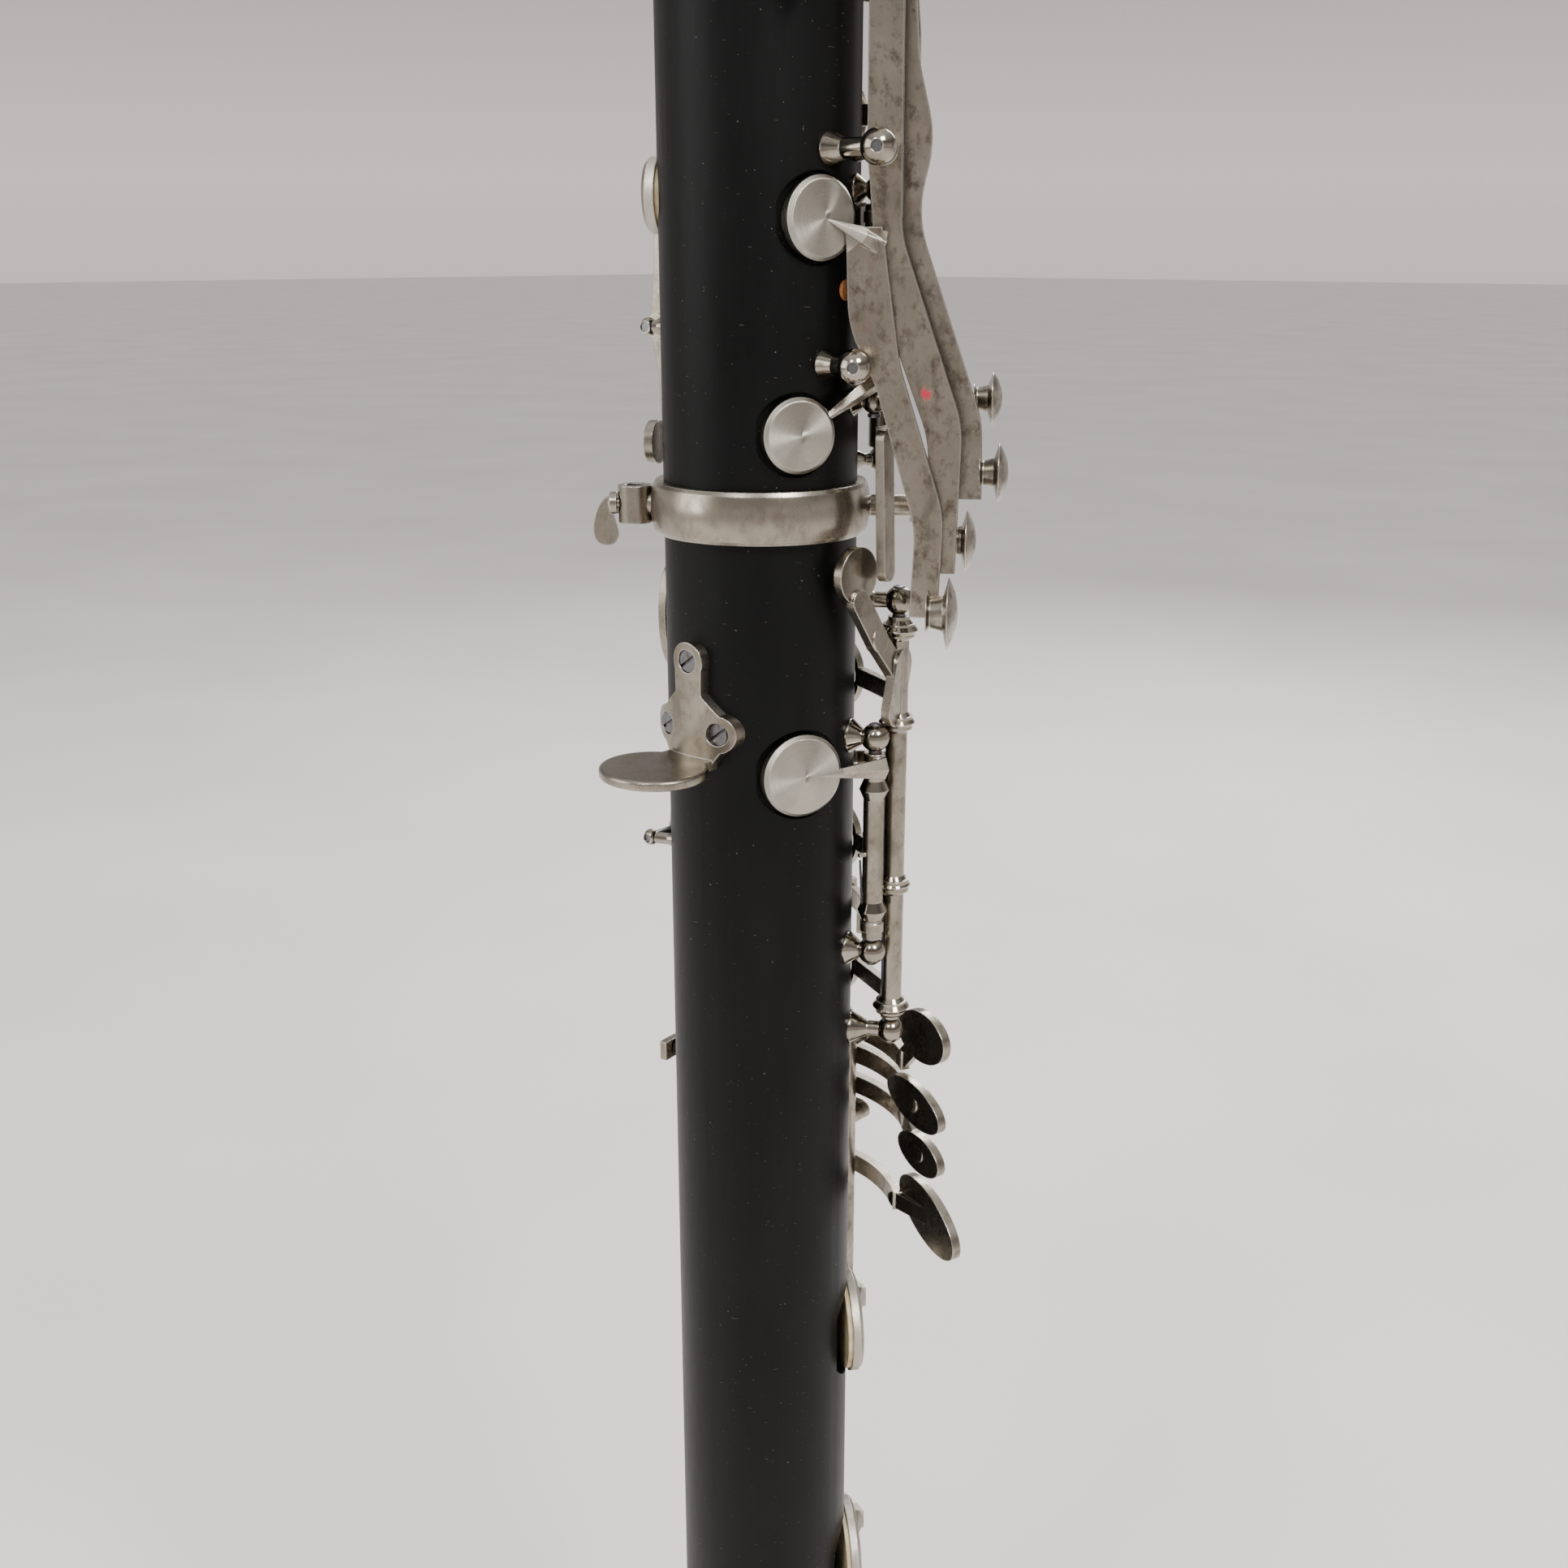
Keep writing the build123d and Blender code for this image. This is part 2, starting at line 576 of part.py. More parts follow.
rest_top = 314.4
rest_foot = 305.0
rest_lobe_side = 4.6
shelf_height = 300.0
shelf_reach = 28.0
rest_thickness = 1.6
rest_screws = ((0.0, rest_top), (-rest_lobe_side, rest_foot), (rest_lobe_side, rest_foot))
with BuildPart() as thumb_rest:
    with BuildSketch(facing(180, body_radius - 4, rest_foot)) as plate:
        with Locations(*[(x, z - rest_foot) for x, z in rest_screws]):
            Circle(2.6)
        with BuildLine():
            Polyline((-2.4, rest_top - rest_foot), (-2.3, 5.0), (-5.2, 2.3), (-5.2, -2.4), (-3.6, -4.6),
                     (3.6, -4.6), (5.2, -2.4), (5.2, 2.3), (2.3, 5.0), (2.4, rest_top - rest_foot), close=True)
        make_face()
    extrude(plate.sketch, amount=8)
    # keep only the curved sheet that hugs the body
    with BuildSketch(Plane.XY.offset(shelf_height - 10)) as sheet:
        Circle(body_radius + rest_thickness)
        Circle(body_radius, mode=Mode.SUBTRACT)
    extrude(sheet.sketch, amount=40, mode=Mode.INTERSECT)
    # shelf for the thumb
    with BuildSketch(Plane.XY.offset(shelf_height)) as shelf:
        with Locations((0, shelf_reach - 7)):
            Ellipse(7.5, 7)
        with Locations((0, body_radius + 3.2)):
            Rectangle(8.0, 6.2)
        Circle(body_radius + 0.02, mode=Mode.SUBTRACT)
    extrude(shelf.sketch, amount=1.4)
    fillet(thumb_rest.edges().filter_by(lambda e: e.center().Y > body_radius + 6), 0.45)
    for x, z in rest_screws:
        with Locations(facing(180, body_radius, z).offset(0)):
            with Locations((x, 0, 0)):
                Cylinder(1.55, 12, mode=Mode.SUBTRACT)


def slotted_screw(x, z):
    """Countersunk screw of the thumb rest, with a slot across its head."""
    plane = facing(180, body_radius, z)
    level = sqrt(body_radius**2 - x**2) - body_radius
    with Locations(plane):
        with Locations((x, 0, level - 2.6)):
            Cylinder(0.8, 3.4, align=(Align.CENTER, Align.CENTER, Align.MIN))
        with Locations((x, 0, level + 0.1)):
            Cylinder(1.5, 1.25, align=(Align.CENTER, Align.CENTER, Align.MIN))
        with Locations(Location((x, 0, level + 1.15), (0, 0, 35))):
            Box(3.4, 0.4, 0.5, mode=Mode.SUBTRACT)


with BuildPart() as thumb_rest_screws:
    for x, z in rest_screws:
        slotted_screw(x, z)
lower_joint.part = lower_joint.part - thumb_rest_screws.part

# ---------------------------------------------------------------- posts, rods and pins
def pin_bearing(pin, offset):
    """Bearing of a post that holds the end of a cross pin."""
    bearing, distance, height = pin
    return bearing + degrees(atan2(offset, distance))


def side_pin_end(pin, offset):
    """Bearing, distance and height of one end of a side-key pin."""
    distance, height = pin
    return (side_bearing + degrees(atan2(offset, distance)), sqrt(distance**2 + offset**2), height)


# ends of the three side-key pins: how far beside the side-key bearing, and ball size
side_pin_posts = ((low_pin, 12.3, large_ball, 1.9), (low_pin, 5.75, 1.15, 1.15),
                  (mid_pin, 13.0, large_ball, 2.2), (mid_pin, 3.6, 1.2, 1.3),
                  (high_pin, 3.8, 1.2, 1.3), (high_pin, -4.9, 1.3, 1.4))
cross_pins = (register_pin, throat_a_pin, c_sharp_pin)
seesaw_ball = 1.2
seesaw_foot = 1.3


def rod_post(rod, high):
    """Post at the lower or upper end of a hinge rod."""
    bearing, distance, lower, upper = rod
    ball = 2.0 if rod in (lower_stack, right_sliver_rod) else small_ball
    post(bearing, distance, upper if high else lower, ball)


def rod_hole(rod, radius, mode):
    """Rod, or the holes that it fills in its posts."""
    bearing, distance, lower, upper = rod
    upright(bearing, distance, lower - 1.2, upper + 1.2, radius, mode)


def cross_pin(bearing, distance, height, half_span, radius, mode):
    """Short pin that lies across the body."""
    with Locations(Plane(origin=spot(bearing, distance, height), z_dir=sideways(bearing))):
        Cylinder(radius, 2 * half_span, mode=mode)


def side_pin(pin, start, end, radius, mode):
    """Pin of the side keys, between two offsets."""
    distance, height = pin
    centre = spot(side_bearing, distance, height) + sideways(side_bearing) * ((start + end) / 2)
    with Locations(Plane(origin=centre, z_dir=sideways(side_bearing))):
        Cylinder(radius, abs(end - start), mode=mode)


def all_side_pins(radius, mode, spare=0.0):
    """The three pins that the side keys swing on, or the longer holes that they fill."""
    side_pin(low_pin, 5.0 - spare, 14.0 + spare, radius, mode)
    side_pin(mid_pin, 2.8 - spare, 14.8 + spare, radius, mode)
    side_pin(high_pin, -5.9 - spare, 4.8 + spare, radius, mode)


upper_rods = (upper_stack, index_stack, left_sliver_rod, thumb_rod, g_sharp_rod)
lower_rods = (lower_stack, right_sliver_rod, f_sharp_rod, f_rod, e_rod, a_flat_rod)

with BuildPart() as upper_posts:
    for rod in upper_rods:
        rod_post(rod, True)
        if rod is not index_stack:
            rod_post(rod, False)
    for pin, offset, ball, foot in side_pin_posts:
        bearing, distance, height = side_pin_end(pin, offset)
        post(bearing, distance, height, ball, foot)
    for pin in cross_pins:
        for side in (-1, 1):
            offset = side * pin_half_span
            post(pin_bearing(pin, offset), sqrt(pin[1]**2 + offset**2), pin[2], seesaw_ball, seesaw_foot)
    for rod in upper_rods:
        rod_hole(rod, rod_radius, Mode.SUBTRACT)
    all_side_pins(pin_radius, Mode.SUBTRACT, 2.0)
    for pin in cross_pins:
        cross_pin(*pin, pin_half_span + 2, pin_radius, Mode.SUBTRACT)
    with Locations((0, 0, upper_base)):
        Cylinder(body_radius, upper_length, align=(Align.CENTER, Align.CENTER, Align.MIN),
                 mode=Mode.SUBTRACT)

with BuildPart() as lower_posts:
    for rod in lower_rods:
        rod_post(rod, False)
        rod_post(rod, True)
    for pin in left_lever_pins:
        for side in (-1, 1):
            outermost = pin is left_lever_pins[-1] and side < 0
            offset = side * (outer_lever_span if outermost else lever_half_span)
            post(pin_bearing(pin, offset), sqrt(pin[1]**2 + offset**2), pin[2], seesaw_ball, seesaw_foot)
    for rod in lower_rods:
        rod_hole(rod, rod_radius, Mode.SUBTRACT)
    for pin in left_lever_pins:
        cross_pin(*pin, (outer_lever_span if pin is left_lever_pins[-1] else lever_half_span) + 2,
                  pin_radius, Mode.SUBTRACT)
    with Locations((0, 0, lower_base)):
        Cylinder(body_radius, lower_length, align=(Align.CENTER, Align.CENTER, Align.MIN),
                 mode=Mode.SUBTRACT)

with BuildPart() as hinge_rods:
    for rod in (left_sliver_rod, thumb_rod, g_sharp_rod, *lower_rods):
        rod_hole(rod, rod_radius, Mode.ADD)
    upright(upper_stack[0], upper_stack[1], upper_stack[2] - 1.2, index_stack[3] + 1.2, rod_radius)
    all_side_pins(pin_radius, Mode.ADD)
    for pin in cross_pins:
        cross_pin(*pin, pin_half_span + 0.8, pin_radius, Mode.ADD)
    for pin in left_lever_pins:
        cross_pin(*pin, lever_half_span + 0.6, pin_radius, Mode.ADD)
    outer_pin = left_lever_pins[-1]
    outer_middle = (lever_half_span + outer_lever_span) / 2
    with Locations(Plane(origin=spot(*outer_pin) - sideways(outer_pin[0]) * outer_middle,
                         z_dir=sideways(outer_pin[0]))):
        Cylinder(pin_radius, outer_lever_span - lever_half_span + 1.4)


# ---------------------------------------------------------------- keys on long rods
def tube_ends(rod):
    """Heights between which a key tube fits, clear of the post balls."""
    ball = 2.0 if rod in (lower_stack, right_sliver_rod) else small_ball
    return rod[2] + ball, rod[3] - ball


def rod_key_tube(rod):
    """Hinge tube of a key, from post to post."""
    low, high = tube_ends(rod)
    hinge_tube(rod[0], rod[1], low, high)


def rod_key_bore(rod):
    """Bore of a key tube and clear space for its posts."""
    low, high = tube_ends(rod)
    hinge_bore(rod[0], rod[1], low, high)


def leaf(centre, along, face, length, width, thickness):
    """Thin oval touch for a finger tip."""
    normal = (face - along * face.dot(along)).normalized()
    with BuildSketch(Plane(origin=centre, x_dir=along, z_dir=normal)) as outline:
        Ellipse(length / 2, width / 2)
    extrude(outline.sketch, amount=thickness / 2, both=True)


ring_level = body_radius + 0.25
arm_width = 2.6
arm_bite = 0.2
with BuildPart() as lower_ring_key:
    rod_key_tube(lower_stack)
    rod_line = [spot(lower_stack[0], lower_stack[1], height)
                for height in (right_ring_hole, right_middle_hole, right_index_hole)]
    for hinge in rod_line:
        finger_ring(hinge.Z, ring_level)
        ring_edge = Vector(-ring_inner_radius - 0.4, -ring_level - ring_thickness / 2, hinge.Z)
        bar(ring_edge, hinge, arm_width, ring_thickness, outward(25))
        ring_opening(hinge.Z)
    for height in (317.0, 304.0, 280.0, 261.0):
        spud(lower_stack[0], lower_stack[1], height)
    cup(*lower_stack_pad[:3])
    pad_hinge = spot(lower_stack[0], lower_stack[1], lower_stack_pad[1])
    pad_turn = spot(22, cup_top(4.6) + 1.4, lower_stack_pad[1])
    bar(pad_hinge, pad_turn, 2.4, 1.3, outward(30))
    ridge(pad_turn, spot(0, cup_top(4.6) - arm_bite, lower_stack_pad[1]), 2.6, 0.7, outward(10))
    # bridge tab: plate on the tube, S-shaped arm and round tab under the upper bridge lever
    bar(spot(58.5, 19.4, 312), spot(63.5, 19.0, 306.5), 5.2, 1.3, outward(70))
    bar(spot(62.5, 18.9, 312), spot(74, 17.8, 316.5), 3.4, 1.3, outward(70))
    bar(spot(74, 17.8, 316.5), spot(84.5, 16.9, 322), 3.4, 1.3, outward(80))
    stud(84.5, 15.7, 17.0, 325.6, 3.75)
    rod_key_bore(lower_stack)
lower_ring_key.part = turned_open(lower_ring_key.part, *lower_stack[:2], -stack_swing)

bridge_height = 343.0
with BuildPart() as middle_ring_key:
    rod_key_tube(upper_stack)
    hinge = spot(upper_stack[0], upper_stack[1], left_middle_hole)
    finger_ring(left_middle_hole, ring_level)
    bar(Vector(-ring_inner_radius - 0.3, -ring_level - ring_thickness / 2, left_middle_hole), hinge,
        arm_width, ring_thickness, outward(20))
    ring_opening(left_middle_hole)
    cup(*upper_stack_pad[:3])
    pad_hinge = spot(upper_stack[0], upper_stack[1], upper_stack_pad[1])
    ridge(pad_hinge, spot(0, cup_top(4.5) - arm_bite, upper_stack_pad[1]), 2.6, 0.7, outward(10))
    # bridge lever: across to the right, then down past the socket ring
    band(upper_stack[0], 74, 18.4, 20.0, bridge_height, 3.2)
    bar(spot(72, 19.4, bridge_height), spot(72, 19.9, 326), 2.8, 1.3, outward(72))
    rod_key_bore(upper_stack)
middle_ring_key.part = turned_open(middle_ring_key.part, *upper_stack[:2], -middle_swing)

with BuildPart() as index_ring_key:
    rod_key_tube(index_stack)
    hinge = spot(index_stack[0], index_stack[1], left_index_hole)
    finger_ring(left_index_hole, ring_level)
    bar(Vector(-ring_inner_radius - 0.3, -ring_level - ring_thickness / 2, left_index_hole), hinge,
        arm_width, ring_thickness, outward(20))
    ring_opening(left_index_hole)
    cup(*index_stack_pad[:3])
    ridge(spot(index_stack[0], index_stack[1], index_stack_pad[1]),
          spot(0, cup_top(4.5) - arm_bite, index_stack_pad[1]), 2.6, 0.7, outward(10))
    rod_key_bore(index_stack)
index_ring_key.part = turned_open(index_ring_key.part, *index_stack[:2], -index_swing)

with BuildPart() as thumb_ring_key:
    rod_key_tube(thumb_rod)
    stud(180, ring_level, ring_level + ring_thickness, thumb_hole, ring_outer_radius)
    band(thumb_rod[0], 156, 15.4, 16.8, thumb_hole, arm_width)
    bar(spot(155, 16.0, thumb_hole), spot(161, ring_level + 1.4, thumb_hole), arm_width, 1.3, outward(155))
    stud(180, body_radius - 2, body_radius + 1.25, thumb_hole, ring_inner_radius, Mode.SUBTRACT)
    stud(180, body_radius, body_radius + 8, thumb_hole, ring_inner_radius, Mode.SUBTRACT)
    cup(*thumb_pad[:3])
    ridge(spot(thumb_rod[0] + 3, thumb_rod[1] + 1.2, thumb_pad[1]),
          spot(thumb_pad[0], cup_top(4.5) - arm_bite, thumb_pad[1]), 2.6, 0.8, outward(140))
    rod_key_bore(thumb_rod)
thumb_ring_key.part = turned_open(thumb_ring_key.part, *thumb_rod[:2], thumb_swing)


def sliver_key(rod, hole, arm_height, touch_height):
    """Side key with a narrow touch that lies between two finger rings."""
    with BuildPart() as key:
        rod_key_tube(rod)
        cup(*hole[:3])
        start = spot(rod[0] + 3, rod[1] + 1.9, arm_height)
        ridge(start, spot(hole[0], cup_top(hole[2]) - arm_bite, hole[1]), 3.0, 0.9, outward(92))
        band(rod[0], 16, 14.3, 15.4, touch_height, 3.0)
        band(18.5, -9, 15.0, 16.2, touch_height, 4.2)
        with Locations(Location(spot(rod[0], rod[1], touch_height))):
            Cylinder(tube_radius + 0.2, 1.4)
        rod_key_bore(rod)
        pad_room(*hole[:3])
    return key.part


left_sliver_key = sliver_key(left_sliver_rod, left_sliver_pad, 351.2, 370.2)
right_sliver_key = sliver_key(right_sliver_rod, right_sliver_pad, 298.4, 274.6)

with BuildPart() as g_sharp_key:
    rod_key_tube(g_sharp_rod)
    cup(*g_sharp_pad[:3])
    ridge(spot(g_sharp_rod[0] - 2, g_sharp_rod[1] + 0.4, g_sharp_pad[1]),
          spot(g_sharp_pad[0], cup_top(4.6) - arm_bite, g_sharp_pad[1]), 2.6, 0.8, outward(-52))
    band(-17, g_sharp_rod[0], 16.4, 17.6, 441, 5.0)
    rod_key_bore(g_sharp_rod)

# ---------------------------------------------------------------- little-finger keys
touch_face = outward(20)
touch_side = sideways(20)


def leaning(angle):
    """Direction of a touch's long axis: round the body, tipped down by an angle."""
    return touch_side * cos(radians(angle)) + Vector(0, 0, -sin(radians(angle)))


def little_finger_key(rod, hole, reach, band_height, touch, size, lean, tail):
    """Key on a long rod: cup and arm, crossing arm to the right, touch and tail."""
    with BuildPart() as key:
        rod_key_tube(rod)
        cup(*hole[:3])
        band(rod[0] if reach > rod[0] else reach, reach if reach > rod[0] else rod[0],
             15.6, 17.1, hole[1], 3.4)
        ridge(spot(reach, 16.3, hole[1]), spot(hole[0], cup_top(hole[2]) - arm_bite, hole[1]), 4.2, 0.8,
              outward(hole[0]))
        # riser and crossing arm, high enough to swing over the neighbouring tubes
        stud(rod[0], rod[1], crossing_outer, band_height, 1.5)
        band(rod[0] - 3, 41, crossing_inner, crossing_outer, band_height, 3.0)
        centre = spot(*touch)
        bar(spot(39, 21.0, band_height), centre, 2.6, 1.3, touch_face)
        leaf(centre, leaning(lean), touch_face, size[0], size[1], 1.4)
        if tail:
            low, bearing = tail
            stud(rod[0], rod[1], tail_outer, low, 1.4)
            band(bearing - 4, rod[0], tail_inner, tail_outer, low, 3.0)
        rod_key_bore(rod)
    return key.part


f_sharp_key = little_finger_key(f_sharp_rod, f_sharp_pad, 27, 248.8, (50, 23.0, 254.4), (11, 8), 0,
                                (left_lever_tips[0], left_lever_pins[0][0]))
f_key = little_finger_key(f_rod, f_pad, 27, 244.2, (50, 21.8, 243.1), (13, 6.6), 12,
                          (left_lever_tips[1], left_lever_pins[1][0]))
e_key = little_finger_key(e_rod, e_pad, 24, 238.6, (53, 22.5, 235.0), (10, 6.0), 8,
                          (left_lever_tips[2], left_lever_pins[2][0]))
a_flat_key = little_finger_key(a_flat_rod, a_flat_pad, -60, 225.0, (54, 25.5, 225.6), (16, 8.4), 20, None)
f_sharp_key = turned_open(f_sharp_key, *f_sharp_rod[:2], little_finger_swing)
f_key = turned_open(f_key, *f_rod[:2], little_finger_swing)
e_key = turned_open(e_key, *e_rod[:2], little_finger_swing)


# ---------------------------------------------------------------- keys on cross pins
def hub(pin, half_width, radius=2.0):
    """Short cross tube that a pinned key swings on."""
    bearing, distance, height = pin
    with Locations(Plane(origin=spot(bearing, distance, height), z_dir=sideways(bearing))):
        Cylinder(radius, 2 * half_width)


def hub_bore(pin, half_width):
    """Bore of a pinned key."""
    cross_pin(*pin, half_width, pin_radius + rod_clearance, Mode.SUBTRACT)


hub_half_width = pin_half_span - seesaw_ball - 0.3
lever_hub_half_width = lever_half_span - seesaw_ball - 0.3

with BuildPart() as register_key:
    hub(register_pin, hub_half_width, 1.8)
    cup(*register_pad[:3])
    with BuildSketch(beside(180, 0)) as lever:
        with BuildLine():
            Polyline((15.0, 434), (15.0, 446), (16.4, 450), (17.6, 452), (16.2, 456), (14.7, 466), (14.7, 502),
                     (16.2, 502), (16.4, 466), (17.9, 456), (18.4, 452), (17.2, 444), (16.4, 434), close=True)
        make_face()
    extrude(lever.sketch, amount=1.5, both=True)
    with BuildSketch(facing(180, 15.2, 433.5)) as touch:
        Ellipse(4.2, 6.0)
    extrude(touch.sketch, amount=1.4)
    hub_bore(register_pin, hub_half_width + 1)

with BuildPart() as throat_a_key:
    hub(throat_a_pin, hub_half_width)
    cup(*throat_a_pad[:3])
    with BuildSketch(beside(throat_a_pin[0], 0)) as lever:
        with BuildLine():
            Polyline((16.0, 438), (16.0, 448), (15.6, 455), (15.2, 460), (15.0, 473), (16.2, 473),
                     (17.0, 462), (18.2, 455), (17.8, 448), (17.4, 438), close=True)
        make_face()
    extrude(lever.sketch, amount=1.4, both=True)
    with BuildSketch(facing(throat_a_pin[0], 16.0, 440)) as touch:
        Ellipse(3.6, 5.6)
    extrude(touch.sketch, amount=1.3)
    hub_bore(throat_a_pin, hub_half_width + 1)

with BuildPart() as c_sharp_key:
    hub(c_sharp_pin, hub_half_width, 1.7)
    cup(*c_sharp_pad[:3])
    with BuildSketch(beside(c_sharp_pin[0], 0)) as lever:
        with BuildLine():
            Polyline((14.3, 341), (14.3, 352), (14.6, 358), (14.6, 375), (16.2, 375), (16.4, 364),
                     (17.2, 356.5), (16.0, 350), (15.4, 341), close=True)
        make_face()
    extrude(lever.sketch, amount=1.2, both=True)
    ridge(spot(c_sharp_pin[0] + 2, 15.4, c_sharp_pad[1]),
          spot(c_sharp_pad[0], cup_top(c_sharp_pad[2]) - arm_bite, c_sharp_pad[1]), 2.6, 0.8,
          outward(c_sharp_pad[0] + 8))
    band(246, c_sharp_pin[0], 14.4, 15.7, 341.4, 5.0)
    with BuildSketch(facing(246, 14.4, 341.4)) as touch:
        Circle(2.9)
    extrude(touch.sketch, amount=1.3)
    hub_bore(c_sharp_pin, hub_half_width + 1)


def left_lever(pin, tip, touch):
    """Left-hand lever: oval touch above the pin, bent tip under a key's tail below it."""
    bearing, distance, height = pin
    with BuildPart() as lever:
        hub(pin, lever_hub_half_width, 1.6)
        with BuildSketch(beside(bearing, 0)) as outline:
            with BuildLine():
                Polyline((14.6, tip), (14.6, height - 6), (15.0, height), (15.6, height + 6), (16.6, touch),
                         (17.9, touch), (17.4, height + 6), (18.0, height), (16.6, height - 6),
                         (15.9, tip + 4), (15.9, tip), close=True)
            make_face()
        extrude(outline.sketch, amount=0.9, both=True)
        stud(bearing, 14.6, tail_inner - tail_drop, tip, 1.2)
        with BuildSketch(facing(bearing, 16.5, touch + 2)) as pearl:
            Ellipse(2.4, 7.5)
        extrude(pearl.sketch, amount=1.4)
        hub_bore(pin, lever_hub_half_width + 1)
    return lever.part


left_levers = [left_lever(pin, tip, touch) for pin, tip, touch
               in zip(left_lever_pins, left_lever_tips, left_lever_touches)]


# ---------------------------------------------------------------- side keys
blade_bend = 14.0
dome_height = 1.3


def side_key(index, pin, hub_span, inner, outer, cup_arm, touch):
    """Trill key: a thin plate on edge, a cup at the top and a mushroom touch at the bottom."""
    offset = side_offsets[index]
    hole = side_pads[index]
    touch_offset, touch_height, foot, crown, touch_radius = touch
    with BuildPart() as key:
        with BuildSketch(beside(side_bearing, offset)) as plate:
            with BuildLine():
                near = FilletPolyline(*inner, radius=blade_bend)
                far = FilletPolyline(*outer, radius=blade_bend)
                Line(near @ 0, far @ 0)
                Line(near @ 1, far @ 1)
            make_face()
        extrude(plate.sketch, amount=blade_thickness / 2, both=True)
        side_pin(pin, hub_span[0], hub_span[1], 1.8, Mode.ADD)
        cup(*hole[:3])
        arm_start = spot(side_bearing, cup_arm[0], cup_arm[1]) + sideways(side_bearing) * offset
        ridge(arm_start, spot(hole[0], cup_top(hole[2]) - arm_bite, hole[1]), 3.2, 0.8,
              outward(hole[0] * 0.6 + side_bearing * 0.4))
        # mushroom: waisted stem and domed head, turned about the outward direction
        centre = sideways(side_bearing) * touch_offset + Vector(0, 0, touch_height)
        dome_radius = (touch_radius**2 + dome_height**2) / (2 * dome_height)
        half_angle = asin(touch_radius / dome_radius) / 2
        dome_middle = (crown - dome_radius * (1 - cos(half_angle)), dome_radius * sin(half_angle))
        with BuildSketch(Plane(origin=centre, x_dir=outward(side_bearing),
                               z_dir=sideways(side_bearing))) as mushroom:
            with BuildLine():
                Polyline((crown, 0), (foot, 0), (foot, touch_radius * 0.55),
                         (foot + 0.5, touch_radius * 0.4), (crown - dome_height - 0.6, touch_radius * 0.5),
                         (crown - dome_height, touch_radius))
                ThreePointArc((crown - dome_height, touch_radius), dome_middle, (crown, 0))
            make_face()
        revolve(mushroom.sketch, Axis(centre, outward(side_bearing)))
        side_pin(pin, hub_span[0] - 2, hub_span[1] + 2, pin_radius + rod_clearance, Mode.SUBTRACT)
        pad_room(*hole[:3])
    return key.part


side_key_1 = side_key(
    0, low_pin, (7.15, 8.8),
    ((20.9, 320.5), (21.4, 332), (16.1, 349.8), (12.5, 357.2), (12.1, 369)),
    ((24.6, 320.5), (25.0, 334), (19.0, 352.5), (16.6, 369)),
    (16.8, 367.0), (10.0, 321.4, 23.2, 27.3, 4.7))
side_key_2 = side_key(
    1, mid_pin, (4.95, 9.4),
    ((22.6, 326), (22.8, 343), (16.0, 361), (14.4, 378), (14.3, 444)),
    ((26.6, 326), (27.0, 345), (18.8, 368), (18.6, 400), (17.2, 444)),
    (16.2, 441.5), (4.6, 330.0, 25.8, 29.2, 4.0))
side_key_3 = side_key(
    2, high_pin, (-0.5, 2.4),
    ((25.6, 335), (25.2, 345), (18.6, 362), (18.4, 392), (14.9, 403), (14.6, 460)),
    ((29.6, 335), (29.4, 345), (20.3, 370.5), (22.4, 379.5), (20.2, 388.5), (19.2, 402), (17.0, 460)),
    (16.2, 458.5), (0.7, 338.4, 29.2, 33.0, 3.9))
side_key_4 = side_key(
    3, high_pin, (-3.4, -0.6),
    ((24.6, 342.6), (23.6, 350), (18.8, 362), (18.6, 392), (14.9, 403), (14.6, 478)),
    ((28.4, 342.6), (28.0, 348.5), (20.3, 369), (20.1, 392), (19.0, 404), (17.0, 478)),
    (16.2, 476.5), (-3.2, 347.6, 28.0, 31.8, 3.5))

# ---------------------------------------------------------------- pads
def loose_pad(hole, rod=None, swing=0.0):
    """Pad of one cup, turned open with its key where the key stands open."""
    with BuildPart() as disc:
        pad(*hole[:3])
    if rod is None:
        return disc.part
    return turned_open(disc.part, rod[0], rod[1], swing)


pads = {
    "lower_ring_pad": loose_pad(lower_stack_pad, lower_stack, -stack_swing),
    "middle_ring_pad": loose_pad(upper_stack_pad, upper_stack, -middle_swing),
    "index_ring_pad": loose_pad(index_stack_pad, index_stack, -index_swing),
    "thumb_ring_pad": loose_pad(thumb_pad, thumb_rod, thumb_swing),
    "f_sharp_pad": loose_pad(f_sharp_pad, f_sharp_rod, little_finger_swing),
    "f_pad": loose_pad(f_pad, f_rod, little_finger_swing),
    "e_pad": loose_pad(e_pad, e_rod, little_finger_swing),
    "a_flat_pad": loose_pad(a_flat_pad),
    "left_sliver_pad": loose_pad(left_sliver_pad),
    "right_sliver_pad": loose_pad(right_sliver_pad),
    "g_sharp_pad": loose_pad(g_sharp_pad),
    "throat_a_pad": loose_pad(throat_a_pad),
    "c_sharp_pad": loose_pad(c_sharp_pad),
    "register_pad": loose_pad(register_pad),
}
for number, hole in enumerate(side_pads, start=1):
    pads[f"side_pad_{number}"] = loose_pad(hole)

